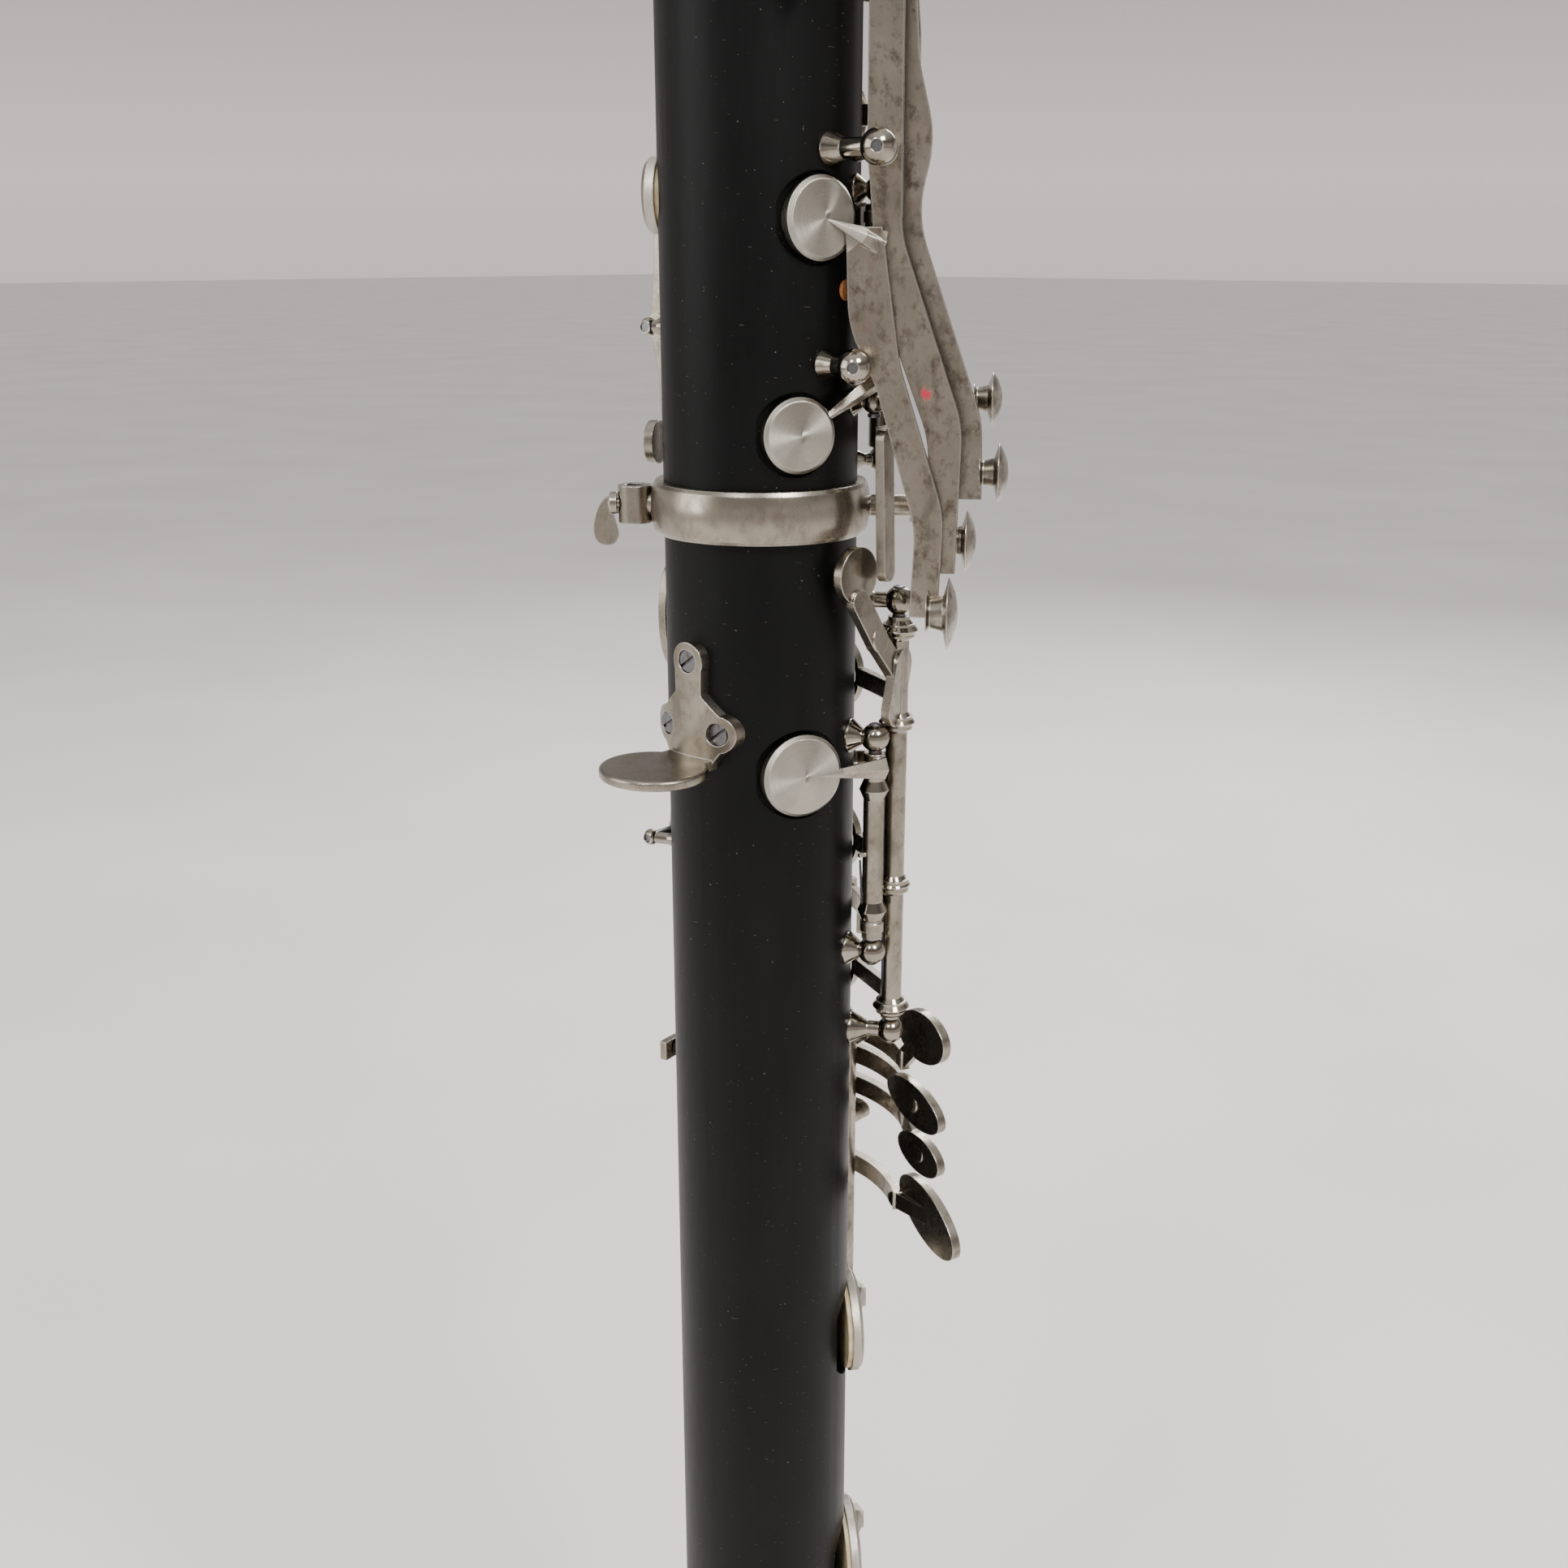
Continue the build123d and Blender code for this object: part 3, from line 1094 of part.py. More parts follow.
# ---------------------------------------------------------------- write every piece
pieces = {
    "bell": bell.part,
    "bell_ring": bell_ring.part,
    "lower_joint": lower_joint.part,
    "upper_joint": upper_joint.part,
    "lyre_ring": lyre_ring.part,
    "lyre_thumbscrew": lyre_thumbscrew.part,
    "thumb_rest": thumb_rest.part,
    "thumb_rest_screws": thumb_rest_screws.part,
    "thumb_tube": thumb_tube.part,
    "tenon_corks": tenon_corks.part,
    "upper_posts": upper_posts.part,
    "lower_posts": lower_posts.part,
    "hinge_rods": hinge_rods.part,
    "barrel": barrel.part,
    "barrel_rings": barrel_rings.part,
    "mouthpiece": mouthpiece.part,
    "mouthpiece_cork": mouthpiece_cork.part,
    "reed": reed.part,
    "ligature": ligature.part,
    "ligature_screw_lower": ligature_screw(ligature_screw_heights[0]),
    "ligature_screw_upper": ligature_screw(ligature_screw_heights[1]),
    "lower_ring_key": lower_ring_key.part,
    "middle_ring_key": middle_ring_key.part,
    "index_ring_key": index_ring_key.part,
    "thumb_ring_key": thumb_ring_key.part,
    "left_sliver_key": left_sliver_key,
    "right_sliver_key": right_sliver_key,
    "g_sharp_key": g_sharp_key.part,
    "throat_a_key": throat_a_key.part,
    "register_key": register_key.part,
    "c_sharp_key": c_sharp_key.part,
    "f_sharp_key": f_sharp_key,
    "f_key": f_key,
    "e_key": e_key,
    "a_flat_key": a_flat_key,
    "left_f_sharp_lever": left_levers[0],
    "left_f_lever": left_levers[1],
    "left_e_lever": left_levers[2],
    "side_key_1": side_key_1,
    "side_key_2": side_key_2,
    "side_key_3": side_key_3,
    "side_key_4": side_key_4,
    **pads,
}
for label, solid in pieces.items():
    finish(solid, label)
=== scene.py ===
"""A Boehm-system clarinet, dressed for the studio: hard resin body, tarnished nickel silver."""

import logging
from dataclasses import dataclass
from enum import Enum
from math import cos, radians, sin

import bpy
from mathutils import Euler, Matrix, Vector


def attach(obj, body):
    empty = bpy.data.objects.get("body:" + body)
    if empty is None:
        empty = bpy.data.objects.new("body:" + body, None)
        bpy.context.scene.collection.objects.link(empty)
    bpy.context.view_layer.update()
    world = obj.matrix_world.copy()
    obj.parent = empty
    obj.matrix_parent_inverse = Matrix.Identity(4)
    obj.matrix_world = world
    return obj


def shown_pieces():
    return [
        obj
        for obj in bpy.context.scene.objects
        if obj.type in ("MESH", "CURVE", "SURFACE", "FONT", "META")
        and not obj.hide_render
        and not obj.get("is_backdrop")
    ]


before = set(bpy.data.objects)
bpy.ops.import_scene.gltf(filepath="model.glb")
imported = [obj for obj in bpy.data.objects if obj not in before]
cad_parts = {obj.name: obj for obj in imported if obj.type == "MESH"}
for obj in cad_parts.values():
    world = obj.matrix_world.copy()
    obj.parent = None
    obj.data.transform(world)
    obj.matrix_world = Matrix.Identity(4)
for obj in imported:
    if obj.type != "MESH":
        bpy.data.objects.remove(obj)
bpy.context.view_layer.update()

logging.basicConfig(level=logging.INFO, format="%(message)s")
log = logging.getLogger("clarinet")

MM = 0.001
MM_PER_M = 1000
STATIC = "joints"
UP = Vector((0, 0, 1))
SHARP_ABOVE = 35.0
SHARP_ABOVE_ON_COLLARS = 20.0
MERGE_WITHIN = 0.005 * MM

Triple = tuple[float, float, float]
Socket = bpy.types.NodeSocket
Value = Socket | float | tuple[float, ...]


# ---------------------------------------------------------------- placing and making
def outward(bearing: float) -> Vector:
    """Unit vector away from the bore at a bearing (0 = finger holes, 90 = player's right)."""
    return Vector((-sin(radians(bearing)), -cos(radians(bearing)), 0))


def sideways(bearing: float) -> Vector:
    """Unit vector round the body at a bearing, towards larger bearings."""
    return Vector((-cos(radians(bearing)), sin(radians(bearing)), 0))


def spot(bearing: float, distance: float, height: float) -> Vector:
    """Point at a bearing, a distance from the bore axis and a height, given in mm."""
    return (outward(bearing) * distance + Vector((0, 0, height))) * MM


def linear(hex_colour: str) -> tuple[float, float, float, float]:
    """Turn a colour into what shaders use.

    Args:
        hex_colour: sRGB hex value.

    Returns:
        Linear RGBA, opaque.
    """
    values = [int(hex_colour[i:i + 2], 16) / 255 for i in (0, 2, 4)]
    rgb = [v / 12.92 if v <= 0.04045 else ((v + 0.055) / 1.055) ** 2.4 for v in values]
    return rgb[0], rgb[1], rgb[2], 1.0


def deselect() -> None:
    """Deselect everything, because an operator acts on all that is selected."""
    bpy.ops.object.select_all(action="DESELECT")


def settle(name: str, material: bpy.types.Material, body: str,
           angle: float = SHARP_ABOVE) -> bpy.types.Object:
    """Finish the active object: apply its place, smooth it, dress it and tie it to a body.

    Args:
        name: name of the piece.
        material: its finish.
        body: the CAD body it moves with.
        angle: edges sharper than this stay sharp, in degrees.

    Returns:
        The finished object.
    """
    piece = bpy.context.active_object
    piece.name = name
    bpy.ops.object.transform_apply(location=True, rotation=True, scale=True)
    bpy.ops.object.shade_smooth_by_angle(angle=radians(angle))
    piece.data.materials.clear()
    piece.data.materials.append(material)
    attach(piece, body)
    return piece


def aim(direction: Vector) -> Euler:
    """Rotation that turns +Z to a direction."""
    return direction.to_track_quat("Z", "Y").to_euler()


def rod_between(start: Vector, end: Vector, radius: float, tip: float, sides: int = 10) -> None:
    """Add a round, tapered bar as the active object.

    Args:
        start: centre of its thick end.
        end: centre of its thin end.
        radius: radius at the start, in mm.
        tip: radius at the end, in mm.
        sides: number of flats round it.
    """
    deselect()
    bpy.ops.mesh.primitive_cone_add(vertices=sides, radius1=radius * MM, radius2=tip * MM,
                                    depth=(end - start).length, location=(start + end) / 2,
                                    rotation=aim(end - start))


def disc(centre: Vector, direction: Vector, radius: float, thickness: float, bevel: float,
         sides: int) -> None:
    """Add a disc with rounded edges as the active object.

    Args:
        centre: its middle.
        direction: the way that its face looks.
        radius: its radius, in mm.
        thickness: its thickness, in mm.
        bevel: width of the rounding, in mm.
        sides: number of flats round it.
    """
    deselect()
    bpy.ops.mesh.primitive_cylinder_add(vertices=sides, radius=radius * MM,
                                        depth=thickness * MM, location=centre,
                                        rotation=aim(direction))
    rounding = bpy.context.active_object.modifiers.new("edge", "BEVEL")
    rounding.width = bevel * MM
    rounding.segments = 2
    rounding.limit_method = "ANGLE"
    bpy.ops.object.modifier_apply(modifier="edge")


def pointed_collar(centre: Vector, inner: float, outer: float, half_height: float) -> None:
    """Add an upright ring with a sharp ridge round its middle as the active object.

    Args:
        centre: its middle.
        inner: radius at its two ends, in mm.
        outer: radius of the ridge, in mm.
        half_height: height from the ridge to an end, in mm.
    """
    halves = []
    for side, low, high in ((-0.5, inner, outer), (0.5, outer, inner)):
        deselect()
        middle = centre + Vector((0, 0, side * half_height * MM))
        bpy.ops.mesh.primitive_cone_add(vertices=40, radius1=low * MM, radius2=high * MM,
                                        depth=half_height * MM, end_fill_type="NOTHING",
                                        location=middle)
        halves.append(bpy.context.active_object)
    for half in halves:
        half.select_set(True)
    bpy.ops.object.join()
    bpy.ops.object.mode_set(mode="EDIT")
    bpy.ops.mesh.select_all(action="SELECT")
    bpy.ops.mesh.remove_doubles(threshold=MERGE_WITHIN)
    bpy.ops.mesh.normals_make_consistent(inside=False)
    bpy.ops.object.mode_set(mode="OBJECT")


# ---------------------------------------------------------------- shader building
@dataclass(frozen=True)
class Grain:
    """A noise pattern: how many features a millimetre has on each axis, and how fine it goes."""

    per_mm: Triple
    detail: float = 3.0
    rough: float = 0.55
    shift: Triple | None = None


class Shader:
    """A node material with short helpers for adding and linking nodes."""

    def __init__(self, name: str) -> None:
        """Start a material that has only its Principled shader and output.

        Args:
            name: the material's name.
        """
        self.material = bpy.data.materials.new(name)
        self.material.use_nodes = True
        self.tree = self.material.node_tree
        self.surface = self.tree.nodes["Principled BSDF"]
        self.place = self.add("ShaderNodeTexCoord").outputs["Object"]

    def add(self, kind: str, links: dict | None = None, **settings: object) -> bpy.types.Node:
        """Add a node.

        Args:
            kind: the node's type.
            links: input name or index to a socket to link, or to a plain value.
            **settings: the node's own properties.

        Returns:
            The node.
        """
        node = self.tree.nodes.new(kind)
        for key, value in settings.items():
            setattr(node, key, value)
        for key, value in (links or {}).items():
            self.feed(node.inputs[key], value)
        return node

    def feed(self, socket: Socket, value: Value) -> None:
        """Link a socket, or set its value.

        Args:
            socket: the input.
            value: what goes in, another node's output or a plain value.
        """
        if isinstance(value, Socket):
            self.tree.links.new(value, socket)
        else:
            socket.default_value = value

    def math(self, operation: str, first: Value, second: Value = 0.0) -> Socket:
        """Result of a math node."""
        return self.add("ShaderNodeMath", {0: first, 1: second}, operation=operation).outputs[0]

    def _vector_math(self, operation: str, first: Value, second: Value) -> bpy.types.Node:
        """A vector math node."""
        return self.add("ShaderNodeVectorMath", {0: first, 1: second}, operation=operation)

    def vector(self, operation: str, first: Value, second: Value = (0, 0, 0)) -> Socket:
        """Result of a vector math node that gives a vector."""
        return self._vector_math(operation, first, second).outputs["Vector"]

    def measure(self, operation: str, first: Value, second: Value = (0, 0, 0)) -> Socket:
        """Result of a vector math node that gives a number."""
        return self._vector_math(operation, first, second).outputs["Value"]

    def stretched(self, per_mm: Triple) -> Socket:
        """Object coordinates with per_mm pattern units to a millimetre on each axis."""
        return self.vector("MULTIPLY", self.place, tuple(v * MM_PER_M for v in per_mm))

    def grain(self, pattern: Grain) -> Socket:
        """Noise over the piece.

        Args:
            pattern: its scale and detail.

        Returns:
            The noise value, 0 to 1.
        """
        where = self.stretched(pattern.per_mm)
        if pattern.shift:
            where = self.vector("ADD", where, pattern.shift)
        return self.add("ShaderNodeTexNoise",
                        {"Vector": where, "Scale": 1.0, "Detail": pattern.detail,
                         "Roughness": pattern.rough}).outputs["Fac"]

    def band(self, value: Value, low: float, high: float, start: float = 0.0,
             end: float = 1.0) -> Socket:
        """Remap a value, clamped.

        Args:
            value: what is remapped.
            low: value that gives start.
            high: value that gives end.
            start: result at low and beyond.
            end: result at high and beyond.

        Returns:
            The remapped value.
        """
        return self.add("ShaderNodeMapRange",
                        {"Value": value, "From Min": low, "From Max": high, "To Min": start,
                         "To Max": end}).outputs["Result"]

    def mix(self, amount: Value, first: Value, second: Value) -> Socket:
        """Blend two colours.

        Args:
            amount: 0 for the first, 1 for the second.
            first: a colour.
            second: the other colour.

        Returns:
            The blend.
        """
        node = self.add("ShaderNodeMix", data_type="RGBA")
        self.feed(node.inputs["Factor"], amount)
        self.feed(node.inputs[6], first)
        self.feed(node.inputs[7], second)
        return node.outputs[2]

    def tint(self, base: Value, mask: Value, strength: float, colour: str) -> Socket:
        """Base colour with a hex colour laid over it where a mask is set."""
        return self.mix(self.math("MULTIPLY", mask, strength), base, linear(colour))

    def bump(self, height: Value, strength: float, depth_mm: float,
             normal: Socket | None = None) -> Socket:
        """Roughen the surface by a height pattern.

        Args:
            height: the pattern.
            strength: how much of it shows, negative for pits.
            depth_mm: its real depth.
            normal: the normal under it, if it isn't the mesh's own.

        Returns:
            The roughened normal.
        """
        links = {"Height": height, "Strength": strength, "Distance": depth_mm * MM}
        if normal is not None:
            links["Normal"] = normal
        return self.add("ShaderNodeBump", links).outputs["Normal"]

    def rounded(self, radius_mm: float) -> Socket:
        """Normal that rounds sharp edges, as hand-finishing does."""
        return self.add("ShaderNodeBevel", {"Radius": radius_mm * MM}, samples=4).outputs["Normal"]

    def edges(self, radius_mm: float) -> Socket:
        """Find the convex edges, where handling wears a finish.

        Args:
            radius_mm: how far from an edge the wear reaches.

        Returns:
            1 at an edge, 0 on flats.
        """
        soft = self.rounded(radius_mm)
        flat = self.add("ShaderNodeNewGeometry").outputs["Normal"]
        return self.band(self.measure("DOT_PRODUCT", soft, flat), 0.995, 0.9)

    def put(self, **values: Value) -> bpy.types.Material:
        """Finish the material.

        Args:
            **values: Principled inputs, with underscores for spaces.

        Returns:
            The material.
        """
        for key, value in values.items():
            self.feed(self.surface.inputs[key.replace("_", " ")], value)
        return self.material


# ---------------------------------------------------------------- finishes
class Polish(Enum):
    """How a metal surface was last worked: least and greatest roughness, strength of scratches."""

    SATIN = (0.18, 0.34, 0.35)
    BRIGHT = (0.07, 0.16, 0.12)


@dataclass(frozen=True)
class Cup:
    """Where a key's pad cup stands: bearing in degrees, height and radius in mm."""

    bearing: float
    height: float
    radius: float


@dataclass(frozen=True)
class HardResin:
    """Ebonite-like black resin, turned along the bore: a satin black with a faint bloom.

    The brushing is finer than 0.1 mm on the real one, and is drawn 0.11 mm wide so that it shows.
    """

    name: str
    roughness: float = 0.38
    sheen: float = 0.14
    black: str = "060606"
    bloom: str = "0e0e0e"
    dust: str = "8d8a84"
    lint: str = "9a958c"
    clouds_grain: Grain = Grain((0.09, 0.09, 0.03), 4)
    brushed_grain: Grain = Grain((9, 9, 0.25), 2)
    skin_grain: Grain = Grain((4, 4, 4))
    dust_grain: Grain = Grain((2.3, 2.3, 2.3), 1)
    lint_grain: Grain = Grain((0.8, 0.8, 6.0), 1)

    def build(self) -> bpy.types.Material:
        """Fine lengthwise brushing, a faint cloudy bloom, and sparse specks of dust.

        Returns:
            The material.
        """
        s = Shader(self.name)
        clouds = s.grain(self.clouds_grain)
        brushed = s.grain(self.brushed_grain)
        skin = s.grain(self.skin_grain)
        dust = s.band(s.grain(self.dust_grain), 0.775, 0.795)
        lint = s.band(s.grain(self.lint_grain), 0.77, 0.80)
        base = s.mix(s.band(clouds, 0.35, 0.7), linear(self.black), linear(self.bloom))
        base = s.tint(base, dust, 0.35, self.dust)
        base = s.tint(base, lint, 0.18, self.lint)
        uneven = s.math("ADD", s.band(brushed, 0.3, 0.7, -0.05, 0.05),
                        s.band(clouds, 0.3, 0.7, 0, 0.07))
        normal = s.bump(skin, 0.25, 0.01, s.bump(brushed, 0.3, 0.012, s.rounded(0.3)))
        return s.put(Base_Color=base, Roughness=s.math("ADD", uneven, self.roughness),
                     Normal=normal, Specular_IOR_Level=self.sheen)


@dataclass(frozen=True)
class KeyMetal:
    """Nickel silver: brushed or polished, warm grey, tarnished in clouds, bright at the edges.

    A key with a pad cup has the cup's back spun, so its fine rings give a fan of light. The rings
    are finer on the real one, and are drawn 0.11 mm apart so that they show.
    """

    name: str
    polish: Polish = Polish.SATIN
    cup: Cup | None = None
    tarnish: float = 0.5
    paint_at: Triple | None = None
    clean: str = "a8a093"
    dull: str = "827a6c"
    brown: str = "4c3c33"
    verdigris: str = "4e564b"
    copper: str = "927468"
    pit: str = "35302b"
    worn: str = "d2cec4"
    ring_dark: str = "aaa59a"
    ring_light: str = "bdb9ae"
    paint: str = "b5343f"
    paint_radius: float = 1.7
    paint_fade: float = 0.3
    paint_ragged: float = 2.2
    rings_per_mm: float = 9.0
    cups_beyond: float = 10.0
    clouds_grain: Grain = Grain((0.22, 0.22, 0.12), 5, 0.6)
    stains_grain: Grain = Grain((0.5, 0.5, 0.4), 6, 0.7, shift=(7, 3, 5))
    brushed_grain: Grain = Grain((14, 14, 0.5), 2)
    pits_grain: Grain = Grain((5.5, 5.5, 5.5), 2)
    paint_grain: Grain = Grain((1.2, 1.2, 1.2))

    def build(self) -> bpy.types.Material:
        """Clouded tarnish over brushed metal, with worn edges, pits, and spun rings on the cup.

        Returns:
            The material.
        """
        s = Shader(self.name)
        smooth, coarse, scratches = self.polish.value
        clouds = s.grain(self.clouds_grain)
        stains = s.grain(self.stains_grain)
        brushed = s.grain(self.brushed_grain)
        pits = s.band(s.grain(self.pits_grain), 0.70, 0.74)
        edges = s.edges(0.35)
        base = s.mix(s.band(clouds, 0.30, 0.72), linear(self.clean), linear(self.dull))
        dark = s.math("MULTIPLY", s.band(stains, 0.50, 0.68), self.tarnish)
        base = s.mix(dark, base, linear(self.brown))
        base = s.tint(base, s.band(clouds, 0.58, 0.70), self.tarnish * 0.6, self.verdigris)
        base = s.tint(base, s.band(stains, 0.42, 0.30), self.tarnish * 0.7, self.copper)
        base = s.tint(base, pits, 0.45, self.pit)
        base = s.tint(base, edges, 0.65, self.worn)
        uneven = s.math("ADD", clouds, s.math("MULTIPLY", brushed, 0.25))
        rough = s.math("ADD", s.band(uneven, 0.4, 0.85, smooth, coarse),
                       s.math("MULTIPLY", dark, 0.16))
        scratch = s.bump(brushed, scratches, 0.012, s.rounded(0.22))
        normal = s.bump(pits, -0.4, 0.03, scratch)
        values = {"Metallic": 1.0}
        if self.cup:
            base, rough, normal, stretch = self._spin(s, base, rough, normal)
            values |= stretch
        if self.paint_at:
            paint = self._paint(s)
            base = s.mix(paint, base, linear(self.paint))
            values["Metallic"] = s.math("SUBTRACT", 1.0, paint)
        return s.put(Base_Color=base, Roughness=rough, Normal=normal, **values)

    def _paint(self, s: Shader) -> Socket:
        """A spot of red lacquer with a ragged edge.

        Args:
            s: the key's shader.

        Returns:
            1 on the spot, 0 off it.
        """
        gone = s.measure("LENGTH", s.vector("SUBTRACT", s.place, self.paint_at))
        edge = s.math("MULTIPLY", s.grain(self.paint_grain), self.paint_ragged * MM)
        return s.band(s.math("ADD", gone, edge), (self.paint_radius + self.paint_fade) * MM,
                      self.paint_radius * MM)

    def _spin(self, s: Shader, base: Socket, rough: Socket,
              normal: Socket) -> tuple[Socket, Socket, Socket, dict[str, Socket]]:
        """Fine rings and a stretched highlight round the cup's axis, masked to the cup.

        Args:
            s: the key's shader.
            base: the key's colour.
            rough: its roughness.
            normal: its normal.

        Returns:
            Colour, roughness and normal with the cup's rings, and the Principled inputs that
            stretch the highlight.
        """
        axis = tuple(outward(self.cup.bearing))
        from_axis = s.vector("SUBTRACT", s.place, (0, 0, self.cup.height * MM))
        along = s.measure("DOT_PRODUCT", from_axis, axis)
        lift = s.add("ShaderNodeVectorMath", {0: axis, "Scale": along}, operation="SCALE")
        radial = s.vector("SUBTRACT", from_axis, lift.outputs["Vector"])
        ring = s.math("MULTIPLY", s.measure("LENGTH", radial), MM_PER_M)
        inside = s.math("MULTIPLY", s.band(ring, self.cup.radius + 0.15, self.cup.radius + 0.05),
                        s.band(along, self.cups_beyond * MM, (self.cups_beyond + 0.1) * MM))
        rings = s.add("ShaderNodeTexNoise",
                      {"W": s.math("MULTIPLY", ring, self.rings_per_mm), "Scale": 1.0,
                       "Detail": 3.0}, noise_dimensions="1D").outputs["Fac"]
        around = s.vector("CROSS_PRODUCT", axis, radial)
        spun = s.mix(s.band(rings, 0.35, 0.65), linear(self.ring_dark), linear(self.ring_light))
        base = s.mix(s.math("MULTIPLY", inside, 0.75), base, spun)
        rough = s.math("ADD", rough,
                       s.math("MULTIPLY", inside, s.band(rings, 0.3, 0.7, 0.04, 0.16)))
        height = s.math("MULTIPLY", rings, inside)
        return base, rough, s.bump(height, 0.35, 0.02, normal), {
            "Anisotropic": s.math("MULTIPLY", inside, 0.9),
            "Tangent": s.vector("NORMALIZE", around)}


@dataclass(frozen=True)
class SpringSteel:
    """Blued steel of needle springs and screws: dark, straw-brown where the bluing has worn."""

    name: str
    blue: str = "3a3b42"
    rust: str = "4d382b"
    worn: str = "9a9a9c"
    drawn_grain: Grain = Grain((10, 10, 0.6), 2)
    rust_grain: Grain = Grain((0.9, 0.9, 0.5), 4)

    def build(self) -> bpy.types.Material:
        """Drawn along its length, with rust-brown freckles.

        Returns:
            The material.
        """
        s = Shader(self.name)
        drawn = s.grain(self.drawn_grain)
        rust = s.band(s.grain(self.rust_grain), 0.55, 0.68)
        base = s.tint(linear(self.blue), rust, 0.7, self.rust)
        base = s.tint(base, s.edges(0.15), 0.5, self.worn)
        return s.put(Base_Color=base, Metallic=1.0, Roughness=s.band(drawn, 0.3, 0.7, 0.26, 0.44),
                     Normal=s.bump(drawn, 0.3, 0.008, s.rounded(0.12)))


@dataclass(frozen=True)
class Cork:
    """Sheet cork: warm tan, close round cells, dark bark flecks, shiny where it is greased."""

    name: str
    tan: str = "b07a4a"
    grease: float = 0.3
    dark: str = "8f5c33"
    bark: str = "4f321f"
    wall: str = "d0a273"
    cells_per_mm: float = 3.2
    flecks_grain: Grain = Grain((0.7, 0.7, 1.5), 4)
    shade_grain: Grain = Grain((0.3, 0.3, 0.3))

    def build(self) -> bpy.types.Material:
        """Cells from a small Voronoi, flecks from thresholded noise, and shallow pores.

        Returns:
            The material.
        """
        s = Shader(self.name)
        cells = s.add("ShaderNodeTexVoronoi", {"Vector": s.stretched((1, 1, 1)),
                                               "Scale": self.cells_per_mm}).outputs["Distance"]
        flecks = s.band(s.grain(self.flecks_grain), 0.58, 0.66)
        shade = s.grain(self.shade_grain)
        base = s.mix(s.band(shade, 0.3, 0.7), linear(self.tan), linear(self.dark))
        base = s.tint(base, flecks, 0.8, self.bark)
        base = s.tint(base, s.band(cells, 0.45, 0.7), 0.3, self.wall)
        rough = s.band(shade, 0.3, 0.7, 0.55, 0.85 - self.grease)
        return s.put(Base_Color=base, Roughness=rough,
                     Normal=s.bump(cells, 0.5, 0.05, s.bump(flecks, -0.5, 0.08)))


@dataclass(frozen=True)
class PadSkin:
    """Fish-skin over felt: cream, slightly glossy, yellower where it has been pressed."""

    name: str
    cream: str = "d9cba8"
    pressed: str = "b99f72"
    glow: Triple = (0.0008, 0.0005, 0.0003)
    mottle_grain: Grain = Grain((0.6, 0.6, 0.6), 4)
    creases_grain: Grain = Grain((3.5, 3.5, 1.5), 4)

    def build(self) -> bpy.types.Material:
        """Soft mottling with fine creases in the skin.

        Returns:
            The material.
        """
        s = Shader(self.name)
        mottle = s.grain(self.mottle_grain)
        creases = s.grain(self.creases_grain)
        base = s.mix(s.band(mottle, 0.3, 0.7), linear(self.cream), linear(self.pressed))
        return s.put(Base_Color=base, Roughness=s.band(creases, 0.3, 0.7, 0.40, 0.62),
                     Subsurface_Weight=0.08, Subsurface_Radius=self.glow,
                     Normal=s.bump(creases, 0.4, 0.04, s.rounded(0.3)))


@dataclass(frozen=True)
class Cane:
    """Shaved reed cane: straw yellow, long fibres, darker with age, a few brown specks."""

    name: str
    straw: str = "d9bd7c"
    fibre: str = "b8924f"
    aged: str = "a57c3e"
    speck: str = "5e4526"
    fibres_grain: Grain = Grain((6, 6, 0.12), 4)
    age_grain: Grain = Grain((0.2, 0.2, 0.06))
    specks_grain: Grain = Grain((1.8, 1.8, 0.8), 2)

    def build(self) -> bpy.types.Material:
        """Long narrow streaks along the reed, with a few dark specks from use.

        Returns:
            The material.
        """
        s = Shader(self.name)
        fibres = s.grain(self.fibres_grain)
        age = s.grain(self.age_grain)
        specks = s.band(s.grain(self.specks_grain), 0.70, 0.74)
        base = s.mix(s.band(fibres, 0.35, 0.65), linear(self.straw), linear(self.fibre))
        base = s.tint(base, s.band(age, 0.45, 0.7), 0.5, self.aged)
        base = s.tint(base, specks, 0.6, self.speck)
        return s.put(Base_Color=base, Roughness=s.band(fibres, 0.3, 0.7, 0.42, 0.6),
                     Normal=s.bump(fibres, 0.4, 0.03, s.rounded(0.1)))


@dataclass(frozen=True)
class StudioPaint:
    """Matt pale paint for the floor: even, but for a very faint broad variation."""

    name: str
    pale: str = "efeae7"
    shaded: str = "e6e1de"
    broad_grain: Grain = Grain((0.004, 0.004, 0.004), 2)

    def build(self) -> bpy.types.Material:
        """A very faint broad variation, so that the floor does not read as a flat fill.

        Returns:
            The material.
        """
        s = Shader(self.name)
        broad = s.grain(self.broad_grain)
        base = s.mix(s.band(broad, 0.3, 0.7), linear(self.pale), linear(self.shaded))
        return s.put(Base_Color=base, Roughness=0.8)


# ---------------------------------------------------------------- the finishes that are shared
class Palette:
    """One material of each shared finish."""

    def __init__(self) -> None:
        """Build every shared material."""
        self.resin = HardResin("black_resin").build()
        self.polished_resin = HardResin("polished_resin", roughness=0.16).build()
        self.metal = KeyMetal("nickel_silver_satin", tarnish=0.35).build()
        self.bright = KeyMetal("nickel_silver_bright", Polish.BRIGHT, tarnish=0.2).build()
        self.steel = SpringSteel("blued_steel").build()
        self.screw = SpringSteel("worn_steel", blue="77777a").build()
        self.cork = Cork("joint_cork").build()
        self.key_cork = Cork("key_cork", tan="c07a3c", grease=0.0).build()
        self.skin = PadSkin("pad_skin").build()
        self.cane = Cane("reed_cane").build()
        self.floor = StudioPaint("studio_floor").build()


